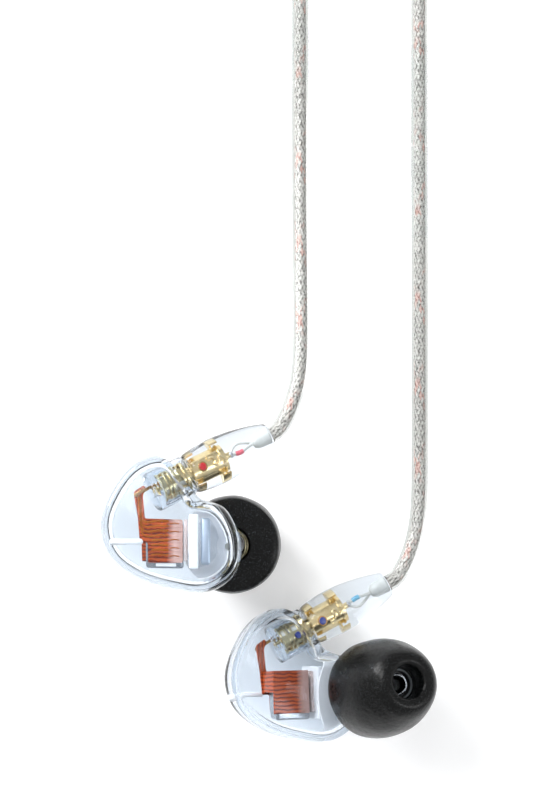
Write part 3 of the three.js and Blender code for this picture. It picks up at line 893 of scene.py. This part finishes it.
def earphone_frame(side):
    """From the earphone's own frame to the row frame, in millimetres. Its height comes from
    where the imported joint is."""
    place = PLACES[side]
    x, y, z = (math.radians(a) for a in place["turn"])
    turn = (Matrix.Rotation(x, 4, "X") @ Matrix.Rotation(y, 4, "Y")
            @ Matrix.Rotation(z, 4, "Z") @ Matrix.Diagonal((1, 1, place["mirror"], 1)))
    joint = next(j for j in frame["joints"] if j["name"] == f"{side}_swivel")
    height = joint["pos_m"][2] / MM - (turn @ JOINT).z
    return Matrix.Translation((*place["at"], height)) @ turn


def facing_frame(facing):
    """In the connector frame: y is along the connector, and z is the way to the earphone's
    outer side, or to its ear side where facing is -1."""
    outward = CONNECTOR.to_3x3().inverted() @ (UP * facing)
    outward.z = 0
    outward.normalize()
    across = UP.cross(outward)
    return Matrix((
        (across.x, 0, outward.x, 0), (across.y, 0, outward.y, 0), (across.z, 1, outward.z, 0),
        (0, 0, 0, 1)))


# The connectors' dots and lugs face up, whichever way their earphone lies. The ferrule's tabs
# stand to either side of the dot.
FACING = {"right": facing_frame(1), "left": facing_frame(-1)}
DOT_ANGLE = math.degrees(math.atan2(FACING["right"][1][2], FACING["right"][0][2]))
TAB_ANGLES = (DOT_ANGLE - 90, DOT_ANGLE + 90)

# ---------------------------------------------------------------- shells


def half_shell(rise, sign, face_wall=FACE_WALL, edge_wall=EDGE_WALL, inset=0):
    """One half of the body: outside, rounded rim and inside, as rings from pole to pole. With
    an inset it is a thinner shape that lies inside the body."""
    sides, levels = 144, 40
    outline = catmull(BODY_OUTLINE, closed=True)
    edge = []
    for k in range(sides):
        at = k * (len(outline) / sides)
        edge.append(outline[int(at)].lerp(outline[(int(at) + 1) % len(outline)], at - int(at)))
    foot = SEAM / 2

    def ring(spread, depth, z):
        return [(*(p * spread * (1 - depth / p.length)), sign * z) for p in edge]

    def meridian(top, depth, low):
        start = math.acos(min(1, (low / top) ** (ROUNDNESS / 2)))
        for k in range(levels + 1):
            polar = start * (1 - k / levels)
            yield (math.sin(polar) ** (2 / ROUNDNESS), depth,
                   top * math.cos(polar) ** (2 / ROUNDNESS))

    inner_edge = inset + edge_wall
    outside = list(meridian(rise, inset, foot + RIM))
    inside = list(meridian(rise - face_wall, inner_edge, foot + RIM))
    rim = [(1, inset + RIM / 3, foot + RIM / 4), (1, inset + RIM, foot),
           (1, inner_edge - RIM, foot), (1, inner_edge - RIM / 3, foot + RIM / 4)]
    rows = outside[::-1][1:] + rim + inside[:-1]
    points, faces = skin([ring(*row) for row in rows], capped=False)
    last = (len(rows) - 1) * sides
    top, bottom = len(points), len(points) + 1
    points += [(0, 0, sign * rise), (0, 0, sign * (rise - face_wall))]
    for k in range(sides):
        j = (k + 1) % sides
        faces += [(top, k, j), (bottom, last + j, last + k)]
    return points, faces


def shells(side, place):
    body = f"{side}_earphone"
    outer = make(f"{side}_outer_half", *half_shell(OUTER_RISE, 1), place=place)
    room = make("room", *drill(BARREL_RADIUS + 0.1, -BARREL_DEPTH - GAP, 3, 72),
                place=place @ CONNECTOR)
    combine(outer, "DIFFERENCE", room)
    piece(outer.name, resharpened(outer, 30), body, "clear_shell",
          replaced=[f"{side}_outer_shell"])

    inner = make(f"{side}_inner_half", *half_shell(INNER_RISE, -1), place=place)
    boss_top, boss_length, boss_shift = -0.95, 2.3, 2.3
    boss = turned([(0, 0), (3.6, 0), (2.15, boss_length), (0, boss_length)], 0.15)
    shear = Matrix.Identity(4)
    shear[0][2] = boss_shift / boss_length
    lean = (Matrix.Translation((-boss_shift, 0, boss_top - boss_length)) @ shear)
    additions = (
        make("barrel", *rod(BARREL_RADIUS, -BARREL_DEPTH, 0, sides=96, edge=0.25),
             place=place @ CONNECTOR),
        make("boss", *moved(boss, lean), place=place @ NOZZLE),
    )
    cuts = (
        make("bore", *drill(SOCKET_RADIUS + 0.2, -BARREL_DEPTH + 0.9, 1, 96),
             place=place @ CONNECTOR),
        make("wire_hole", *drill(0.8, -BARREL_DEPTH - 1, 0), place=place @ CONNECTOR),
        make("nozzle_hole", *drill(1.75, -6, 1, 64), place=place @ NOZZLE),
    )
    combine(inner, "UNION", *additions)
    combine(inner, "DIFFERENCE", *cuts)
    piece(inner.name, resharpened(inner, 30), body, "clear_shell",
          replaced=[f"{side}_inner_shell"])

    rib = rounded_block((-7.6, -2.9, 2.2), (-3.5, -2.2, 3.9), edge=0.3)
    piece(f"{side}_shell_rib", rib, body, "clear_shell", place=place, material="white_silicone")

    horn = make(f"{side}_horn_plate", *half_shell(
        INNER_RISE - FACE_WALL - HORN_GAP, -1, HORN_WALL, HORN_WALL, EDGE_WALL + HORN_GAP),
        place=place)
    round_nozzle = Matrix.Translation((NOZZLE_BASE.x, NOZZLE_BASE.y, 0))
    keep = make("keep", *moved(drill(HORN_RADIUS, -7, -0.6, 96), round_nozzle), place=place)
    port = make("port", *drill(0.55, -6, 2), place=place @ NOZZLE)
    combine(horn, "INTERSECT", keep)
    combine(horn, "DIFFERENCE", port)
    piece(horn.name, resharpened(horn, 35), body, "clear_shell", material="frosted_horn")


# ---------------------------------------------------------------- drivers and flex circuit


def drivers(side, place):
    put = pieces_of(side, f"{side}_earphone", place)
    can = joined(
        rounded_block((-3.2, -5.95, -1.2), (1.6, 0, 1.2), edge=0.35),
        rounded_block((-3.0, -5.75, 1.1), (1.4, -0.2, 1.3), edge=0.08),
        rounded_block((-3.0, -5.75, -1.3), (1.4, -0.2, -1.1), edge=0.08))
    put("woofer_can", can, "steel_can", "woofer")
    put("woofer_label", rounded_block((-1.9, -5.7, 1.32), (0.7, -5.25, 1.44), 0.05),
        "white_silicone")
    boot = joined(
        rounded_block((2.35, -6, -2.2), (3.6, 1.1, 2.4), edge=0.28),
        rounded_block((2.2, -4.2, -1.2), (2.5, -1.2, 1.2), edge=0.1))
    put("boot", boot, "white_silicone", "driver_boot")
    tweeter = joined(
        rounded_block((3.9, -5.4, -2.1), (5.1, 0.6, 2.1), edge=0.3),
        rounded_block((4.1, -5.2, 2.05), (4.9, 0.4, 2.18), edge=0.06))
    put("tweeter_can", tweeter, "grey_can", "tweeter")
    put("film", rounded_block((1.7, -5.0, -1.45), (2.15, 0.4, 1.7), edge=0.12), "flex_film",
        material="pink_film")
    flex(side, place)


def flex(side, place):
    """The flex circuit: a film folded round the woofer with its tail, and copper traces."""
    put = pieces_of(side, f"{side}_earphone", place)
    face, thick = 1.5, 0.18
    outline = rounded([
        (-4.75, 4.0), (-3.5, 4.8), (-3.1, 4.3), (-3.6, 3.5), (-3.3, 0.5), (1.55, 0.35),
        (1.55, -5.2), (-2.9, -5.2), (-2.9, -2.6), (-3.95, -2.6), (-4.2, 0.4), (-4.7, 3.3),
    ], 0.25)
    front = triangulated(outline, face, face + thick)
    back = rounded_block((-3.85, -5.1, -1.72), (1.3, 0.5, -1.5), edge=0.08)
    fold = rounded_block((-3.85, -2.3, -1.7), (-3.65, 0.5, 1.66), edge=0.08)
    put("flex_film", joined(front, back, fold), "flex_film", "flex_circuit")
    top = face + thick + 0.02
    traces = []
    for row in range(8):
        y = 0.15 - row * 0.62
        x = -4.18 + row * 0.06
        if row < 4:
            path = [(x + 0.05, 3.3, top), (x + 0.18, 1.6, top), (x + 0.4, y + 0.3, top),
                    (x + 1.0, y - 0.1, top), (-1.6, y + 0.05, top), (-0.25, y, top)]
        else:
            path = [(-2.45, y, top), (-1.6, y + 0.07, top), (-0.9, y, top), (-0.25, y, top)]
        traces.append(ribbon(path, 0.2 if row % 2 else 0.26, 0.05))
    for row in range(5):
        y = -0.2 - row * 1.05
        traces.append(ribbon(
            [(-0.1, y, top), (0.45, y + 0.1, top), (1.1, y, top)], 0.12, 0.05))
    put("flex_traces", joined(*traces), "flex_film", material="trace")


def triangulated(outline, low, high):
    """A thin plate with an outline that may be hollow in places."""
    bm = bmesh.new()
    ring = [bm.verts.new((p[0], p[1], low)) for p in outline]
    flat = bmesh.ops.triangle_fill(
        bm, use_beauty=True, edges=[
            bm.edges.new((a, b)) for a, b in zip(ring, ring[1:] + ring[:1])])
    faces = [g for g in flat["geom"] if isinstance(g, bmesh.types.BMFace)]
    raised = bmesh.ops.extrude_face_region(bm, geom=faces)
    for g in raised["geom"]:
        if isinstance(g, bmesh.types.BMVert):
            g.co.z = high
    return shape_of(bm)


# ---------------------------------------------------------------- socket and connector


def lobes(profile, centres, width):
    """Sectors of a ring."""
    return [lathe(profile, 10, c - width / 2, width) for c in centres]


def socket(side, place):
    put = pieces_of(side, f"{side}_earphone", place @ CONNECTOR)
    thin = rounded([(1.62, -4.0), (1.8, -4.0), (1.8, -0.4), (1.62, -0.4)], 0.04)
    rings = [
        pipe(1.62, 1.95, low, high, 0.08)
        for low, high in ((-0.8, -0.35), (-1.55, -1.2), (-2.75, -2.35), (-3.35, -3.0),
                          (-4.1, -3.85))
    ]
    shell = joined(*rings, *lobes(thin, (20, 110, 200, 290), 58))
    put("socket_rings", shell, "gold_plate", "socket_shell")
    put("socket_dielectric", pipe(0.55, 1.4, -3.9, -1.2), "white_dielectric", "socket_insulator")
    tip = joined(rod(0.25, -4.9, -1.1), rod(0.38, -4.3, -3.5))
    put("socket_contact", tip, "gold_plate", "socket_pin")
    clip = joined(
        ribbon([(-4.5, 3.55, 1.85), (-3.8, 3.95, 1.9), (-3.2, 4.2, 1.8), (-2.5, 4.6, 1.6),
                (-2.0, 4.75, 1.4)], 0.42, 0.12),
        rounded_block((-4.75, 3.3, 1.72), (-4.1, 3.75, 2.0), 0.08),
        rounded_block((-2.5, 4.35, 1.25), (-1.9, 4.85, 1.6), 0.08))
    put("contact_clip", clip, "gold_plate", place=place, material="bronze")


def socket_dot(side, place, mark):
    """The socket's own coloured mark, on the ear side."""
    dot = turned([(0, 2.0), (0.45, 2.0), (0.45, 2.1), (0.34, 2.16), (0, 2.18)], 0.03, 32)
    piece(f"{side}_socket_dot", moved(dot, Matrix.Translation((0, -1.9, 0))),
          f"{side}_earphone", f"{mark}_mark", place=place @ CONNECTOR @ facing_frame(-1))


def connector(side, place, mark):
    at = place @ CONNECTOR
    put = pieces_of(side, "cable", at)
    outline = catmull([
        (2.5, 0.3, 0), (2.66, 0.55, 0), (2.9, 2, 0), (3.05, 4, 0), (2.95, 6.2, 0),
        (2.6, 8.6, 0), (2.15, 10.6, 0), (1.78, 11.8, 0), (1.66, 12.05, 0)], per_span=6)
    housing = [(0, 0.3)] + [(p.x, p.y) for p in outline] + [(0, 12.05)]
    put("overmould", lathe(housing, 112), "clear_overmould", "connector_housing", sharp=50)
    neck = turned([
        (0.6, -0.9), (0.95, -0.9), (0.95, 0.32), (1.38, 0.36), (1.38, 5.3), (1.2, 5.3),
        (1.2, 0.5), (0.6, 0.5)], 0.06)
    front = pipe(1.3, 1.7, 0.34, 0.6)
    front_lobe = rounded([(1.3, 0.5), (2.2, 0.5), (2.2, 1.6), (1.9, 1.6), (1.9, 0.75),
                          (1.3, 0.75)], 0.06)
    rear = pipe(1.3, 1.5, 4.6, 4.9, 0.05)
    rear_lobe = rounded([(1.3, 3.95), (2.2, 3.95), (2.2, 5.15), (1.9, 5.15), (1.9, 4.2),
                         (1.3, 4.2)], 0.06)
    shell = joined(
        neck, front, rear, *lobes(front_lobe, TAB_ANGLES, 52),
        *lobes(rear_lobe, TAB_ANGLES, 52))
    put("ferrule", shell, "gold_plate", "connector_shell")
    put("ferrule_core", pipe(0.62, 1.15, 0.8, 5.2), "white_dielectric", "connector_insulator")
    pin = turned([(0, -0.8), (0.2, -0.75), (0.3, -0.5), (0.3, 6.1), (0, 6.1)], 0.05, 24)
    put("pin", pin, "gold_plate", "connector_pin")
    ring = turned([(1.25, -0.7), (1.45, -0.7), (1.45, -0.35), (1.25, -0.35)], 0.07, 60, 25, 310)
    piece(f"{side}_spring_ring", ring, f"{side}_ring", "gold_plate", place=at,
          replaced=[f"{side}_snap_ring"])

    face = at @ FACING[side]
    dot = turned([(0, 1.3), (0.46, 1.3), (0.46, 1.5), (0.36, 1.58), (0, 1.6)], 0.03, 40)
    to_dot = Matrix.Translation((0, 1.95, 0))
    put("dot", moved(dot, to_dot), f"{mark}_mark", "id_dot", place=face)
    rim = turned([(0.44, 1.25), (0.6, 1.25), (0.6, 1.52), (0.44, 1.52)], 0.03, 40)
    put("dot_rim", moved(rim, to_dot), "gold_plate", place=face, material="bronze")
    lug = joined(
        wire([(-0.55, 3.0, 1.36), (-0.5, 3.5, 1.46), (0.0, 3.75, 1.52), (0.3, 3.4, 1.5),
              (0.6, 3.85, 1.48), (0.15, 4.25, 1.52), (-0.3, 4.4, 1.5), (0.1, 4.9, 1.48),
              (0.5, 4.9, 1.42), (0.3, 5.5, 1.2), (0.1, 6.2, 0.7)], 0.13),
        rounded_block((-0.95, 2.85, 1.28), (-0.35, 3.25, 1.46), 0.06),
        rounded_block((0.2, 4.65, 1.28), (0.8, 5.05, 1.46), 0.06))
    put("lug", lug, "gold_plate", place=face)
    hot = wire([(0.1, 6.0, 0), (0.25, 6.8, 0.35), (0.3, 7.6, 0.45), (0.1, 8.6, 0.25),
                (0, 9.6, 0.05)], 0.16)
    ground = wire([(0.1, 5.9, 0.9), (-0.5, 6.8, 0.55), (-0.6, 7.6, 0.2), (-0.35, 8.6, -0.1),
                   (0, 9.6, -0.1)], 0.15)
    put("hot_wire", hot, f"{mark}_mark", place=face, material="pale_wire")
    put("ground_wire", ground, "gold_plate", place=face, material="pale_wire")
    band = wire([(0.22, 6.75, 0.35), (0.3, 7.2, 0.44), (0.28, 7.75, 0.42)], 0.25)
    put("wire_mark", band, f"{mark}_mark", place=face, material=f"{mark}_wire")
    blob = turned([(0, -0.3), (0.28, -0.12), (0.3, 0.1), (0, 0.3)], 0.15, 20)
    solder = joined(*[
        moved(blob, Matrix.Translation(p)) for p in ((0.1, 6.2, 0.05), (0.15, 6.0, 0.85))])
    put("solder", solder, "steel_can", place=face)
    relief = turned([(0, 9.3), (0.45, 9.4), (0.72, 10), (0.78, 11.95), (0, 11.95)], 0.2, 40)
    put("strain_core", relief, "clear_overmould", material="strain")


# ---------------------------------------------------------------- nozzle and sleeve


def nozzle(side, place):
    put = pieces_of(side, f"{side}_earphone", place @ NOZZLE)
    put("nozzle_tube", pipe(1.2, 1.5, -1.3, 8), "clear_nozzle", "nozzle")
    ring = turned([
        (1.8, -0.65), (2.15, -0.65), (2.15, -0.45), (2.02, -0.4), (2.02, -0.3), (2.15, -0.25),
        (2.15, -0.1), (1.8, -0.1)], 0.03)
    put("brass_ring", ring, "brass_ring", "nozzle_ring")
    put("damper_disc", rod(0.9, 1, 3), "damper_mesh", "damper")


def foam_sleeve(side, place):
    put = pieces_of(side, f"{side}_sleeve", place @ NOZZLE)
    outside = catmull([
        (5.72, 0.02, 0), (6.05, 0.3, 0), (6.3, 1.1, 0), (6.4, 2.4, 0), (6.4, 4.0, 0),
        (6.2, 5.8, 0), (5.75, 7.6, 0), (5.05, 9.4, 0), (4.35, 10.75, 0), (3.75, 11.38, 0),
        (3.2, 11.58, 0), (2.65, 11.56, 0), (2.25, 11.3, 0), (2.12, 10.8, 0)], per_span=9)
    profile = [(2.45, 0), (3.5, 0.02), (4.6, 0.02)] + [(p.x, p.y) for p in outside] + [
        (2.1, 10.2), (2.1, 9.5), (2.1, 8.75), (2.45, 8.7), (2.45, 6), (2.45, 3)]
    points, faces = lathe(profile, 200)
    out = []
    for p in points:
        p = Vector(p)
        radial = Vector((p.x, p.y, 0)).normalized()
        lump = noise.noise(p * 0.45 + Vector((3.1, 0, 7))) * 0.05
        pore = noise.noise(p * 2.4) * 0.018
        free = eased(Vector((p.x, p.y)).length, 2.5, 3.4) * eased(11.6 - p.z, 0.0, 0.25)
        out.append(p + radial * (lump + pore) * free)
    foam = put("foam", (out, faces), "black_foam", "foam_sleeve", sharp=60)
    threads = [pipe(1.62, 1.85, z, z + 0.22) for z in (5.6, 6.5, 7.4)]
    core = joined(pipe(1.8, 2.15, 0.2, 8.4, 0.08), *threads)
    put("core", core, "black_core", "sleeve_core")
    lip = pipe(1.78, 2.05, 8.25, 8.5, 0.08)
    put("core_lip", lip, "black_core", material="grey_ring")


# ---------------------------------------------------------------- slider, ties, split and plug

COIL_BORE = 7.375
COIL_RADIUS = 20.875
COIL_TOP = 9.85
SLIDER_CENTRE = Vector((12.6, 103, 2.1))


def slider():
    length, width, height, spacing = 8, 8.6, 4.2, 3.4
    corner = height / 2
    reach = width / 2 - corner
    section = [(s * reach + corner * math.cos(a), corner * math.sin(a))
               for s, start in ((1, -90), (-1, 90))
               for a in (math.radians(start + 7.5 * k) for k in range(25))]
    rows = []
    for inset, y in ((0.35, 0), (0.1, 0.12), (0, 0.4), (0, 2.6), (0.25, 3.2), (0.25, 4.8),
                     (0, 5.4), (0, 7.6), (0.1, 7.88), (0.35, 8)):
        rows.append([
            (x * (1 - inset / (width / 2)), y - length / 2, z * (1 - inset / corner))
            for x, z in section])
    place = Matrix.Translation(SLIDER_CENTRE)
    body = make("slider_body", *skin(rows), place=place)
    bores = [
        make("bore", *drill(LEAD_RADIUS + 0.15, -5, 5),
             place=place @ Matrix.Translation((s * spacing / 2, 0, 0))
             @ Matrix.Rotation(math.pi / 2, 4, "X"))
        for s in (-1, 1)]
    combine(body, "DIFFERENCE", *bores)
    piece("slider_body", resharpened(body, 35), "slider", "clear_slider",
          replaced=["cinch_slider"])


def ties():
    """Two hook-and-loop straps round the coil's section."""
    low_r, high_r, top, thick, width = (
        COIL_BORE - 0.75, COIL_RADIUS + 0.75, COIL_TOP + 0.8, 0.42, 3.0)
    for index, angle in ((1, 0), (2, math.pi)):
        outer = rounded([(low_r, 0.03), (high_r, 0.03), (high_r, top), (low_r, top)], 1.1,
                        steps=8)
        inner = rounded([
            (low_r + thick, 0.03 + thick), (high_r - thick, 0.03 + thick),
            (high_r - thick, top - thick), (low_r + thick, top - thick)], 0.7, steps=8)
        rows = [
            [(p.x, y, p.y) for p in ring]
            for y, ring in ((-width / 2 + 0.1, outer), (-width / 2, inner), (width / 2, inner),
                            (width / 2 - 0.1, outer))]
        flap = rounded_block((10, -1.35, top - 0.05), (17.5, 1.35, top + 0.42), 0.2)
        place = Matrix.Translation(COIL_CENTRE) @ Matrix.Rotation(angle, 4, "Z")
        piece(f"tie_strap_{index}", joined(skin(rows, ring=True), flap), "cable",
              "black_tie", place=place, replaced=[f"cable_tie_{index}"])


def split():
    half = 7
    outline = rounded([
        (-half, -1.6), (-half + 2, -2.1), (half - 3, -2.8), (half, -2.8), (half, 2.8),
        (half - 3, 2.8), (-half + 2, 2.1), (-half, 1.6)], 0.8, steps=6)
    height = 3.4
    rows = [
        [(p.x * (1 - inset / half), p.y * (1 - inset / 2.4), z - height / 2) for p in outline]
        for inset, z in ((0.5, 0), (0.2, 0.1), (0.05, 0.3), (0, 0.6), (0, 2.8), (0.05, 3.1),
                         (0.2, 3.3), (0.5, height))]
    place = Matrix.Translation(SPLIT_CENTRE)
    shell = piece("split_block", skin(rows), "cable", "clear_split", place=place,
                  replaced=["y_split"])
    core = rounded_block((-4.4, -1.55, -1.15), (2.2, 1.55, 1.15), 0.5)
    inner = piece("split_core", core, "cable", "clear_split", place=place,
                  material="white_silicone")
    return shell, inner


def plug():
    """The 3.5 mm plug and its grip, which point to -x."""
    at = Matrix.Translation((14, 123.5, 13.75)) @ Matrix.Rotation(-math.pi / 2, 4, "Y")
    grooves = []
    for k in range(6):
        z = 11.4 + 1.5 * k
        grooves += [(3.6, z), (3.42, z + 0.15), (3.42, z + 0.45), (3.6, z + 0.6)]
    relief = []
    for k in range(5):
        z = 1.0 + 1.35 * k
        r = 1.62 + 0.17 * k
        relief += [(r, z), (r - 0.22, z + 0.12), (r - 0.2, z + 0.5), (r + 0.08, z + 0.62)]
    grip = turned(
        [(1.15, 8), (1.15, 0), (1.55, 0)] + relief
        + [(2.6, 8), (3.3, 8.6), (3.6, 10)] + grooves
        + [(3.6, 21), (3.3, 25), (2, 25), (2, 22), (1.15, 22)], 0.1, 96)
    made = [piece("plug_grip", grip, "cable", "black_grip", place=at,
                  replaced=["plug_housing"])]
    sleeve = turned([
        (1.0, 25.3), (2.7, 25.3), (2.7, 26.3), (1.75, 26.3), (1.75, 32.6), (1.0, 32.6)], 0.07, 96)
    made.append(piece("plug_barrel", sleeve, "cable", "gold_plate", place=at,
                      replaced=["plug_sleeve"]))
    insulator = turned([
        (0, 23), (0.7, 23), (0.7, 32.9), (1.7, 32.9), (1.7, 33.3), (0.7, 33.3), (0.7, 36.0),
        (1.7, 36.0), (1.7, 36.4), (0, 36.4)], 0.03, 96)
    made.append(piece("plug_bands", insulator, "cable", "black_insulator", place=at,
                      replaced=["plug_insulator"]))
    made.append(piece("plug_contact_ring", pipe(1.0, 1.75, 33.6, 35.7), "cable", "gold_plate",
                      place=at, replaced=["plug_ring"]))
    tip = turned([
        (0, 36.7), (1.75, 36.7), (1.75, 37.2), (1.15, 38), (1.72, 38.9), (0.5, 40), (0, 40)],
        0.15, 96)
    made.append(piece("plug_point", tip, "cable", "gold_plate", place=at,
                      replaced=["plug_tip"]))
    return made


# ---------------------------------------------------------------- build

cords = leads()
for side, mark in (("right", "red"), ("left", "blue")):
    place = earphone_frame(side)
    shells(side, place)
    drivers(side, place)
    socket(side, place)
    socket_dot(side, place, mark)
    connector(side, place, mark)
    nozzle(side, place)
    foam_sleeve(side, place)
slider()
ties()
split_pieces = split()
plug_pieces = plug()

print("cord lengths", {key: round(value[1], 4) for key, value in cords.items()})

# ---------------------------------------------------------------- surface and light


def floor():
    half = 1500
    cells = 6
    points = [(-half + 2 * half * i / cells, -half + 2 * half * j / cells, -0.02)
              for j in range(cells + 1) for i in range(cells + 1)]
    faces = [
        (a, a + 1, a + cells + 2, a + cells + 1)
        for a in (j * (cells + 1) + i for j in range(cells) for i in range(cells))]
    obj = make("floor", points, faces)
    n = Nodes("pale_floor")
    tone = n.noise(n.place(), 0.02, 2.0)
    obj.data.materials.append(n.done(n.surface({
        "Base Color": n.mix(tone, colour("fafafa"), colour("ffffff")),
        "Roughness": n.between(tone, 0.6, 0.7), "Specular IOR Level": 0.2,
        "Emission Color": (1, 1, 1, 1), "Emission Strength": 0.17,
    })))


def sky():
    """Bright overhead and greyer towards the horizon, as under a soft box."""
    world = bpy.data.worlds.new("studio")
    bpy.context.scene.world = world
    world.use_nodes = True
    tree = world.node_tree
    tree.nodes.clear()
    where = tree.nodes.new("ShaderNodeTexCoord")
    split = tree.nodes.new("ShaderNodeSeparateXYZ")
    ramp = tree.nodes.new("ShaderNodeValToRGB")
    for element, (at, level) in zip(ramp.color_ramp.elements, ((0.0, 0.68), (0.75, 1.0))):
        element.position = at
        element.color = (level, level * 1.005, level * 1.015, 1)
    background = tree.nodes.new("ShaderNodeBackground")
    background.inputs["Strength"].default_value = 0.7
    out = tree.nodes.new("ShaderNodeOutputWorld")
    tree.links.new(where.outputs["Generated"], split.inputs[0])
    tree.links.new(split.outputs[2], ramp.inputs[0])
    tree.links.new(ramp.outputs[0], background.inputs["Color"])
    tree.links.new(background.outputs[0], out.inputs["Surface"])


def lamp(name, location, target, size, watts):
    data = bpy.data.lights.new(name, "AREA")
    data.shape = "RECTANGLE"
    data.size, data.size_y = size
    data.energy = watts
    obj = bpy.data.objects.new(name, data)
    obj.location = location
    obj.rotation_euler = (Vector(target) - Vector(location)).to_track_quat("-Z", "Y").to_euler()
    bpy.context.scene.collection.objects.link(obj)


floor()
sky()
LAMPS = (  # name, place, target, width and length in metres, and power in watts
    ("key", (-0.3, 0.3, 0.5), (0, 0.02, 0), (0.3, 0.3), 1.8),
    ("side", (-0.42, 0.36, 0.17), (0, 0, 0.01), (0.26, 0.26), 2.6),
    ("fill", (0.45, -0.1, 0.35), (0, 0.02, 0), (0.12, 0.4), 0.7),
)
for values in LAMPS:
    lamp(*values)

scene = bpy.context.scene
scene.view_settings.view_transform = "Standard"
scene.cycles.max_bounces = 24
scene.cycles.transmission_bounces = 24
scene.cycles.transparent_max_bounces = 48
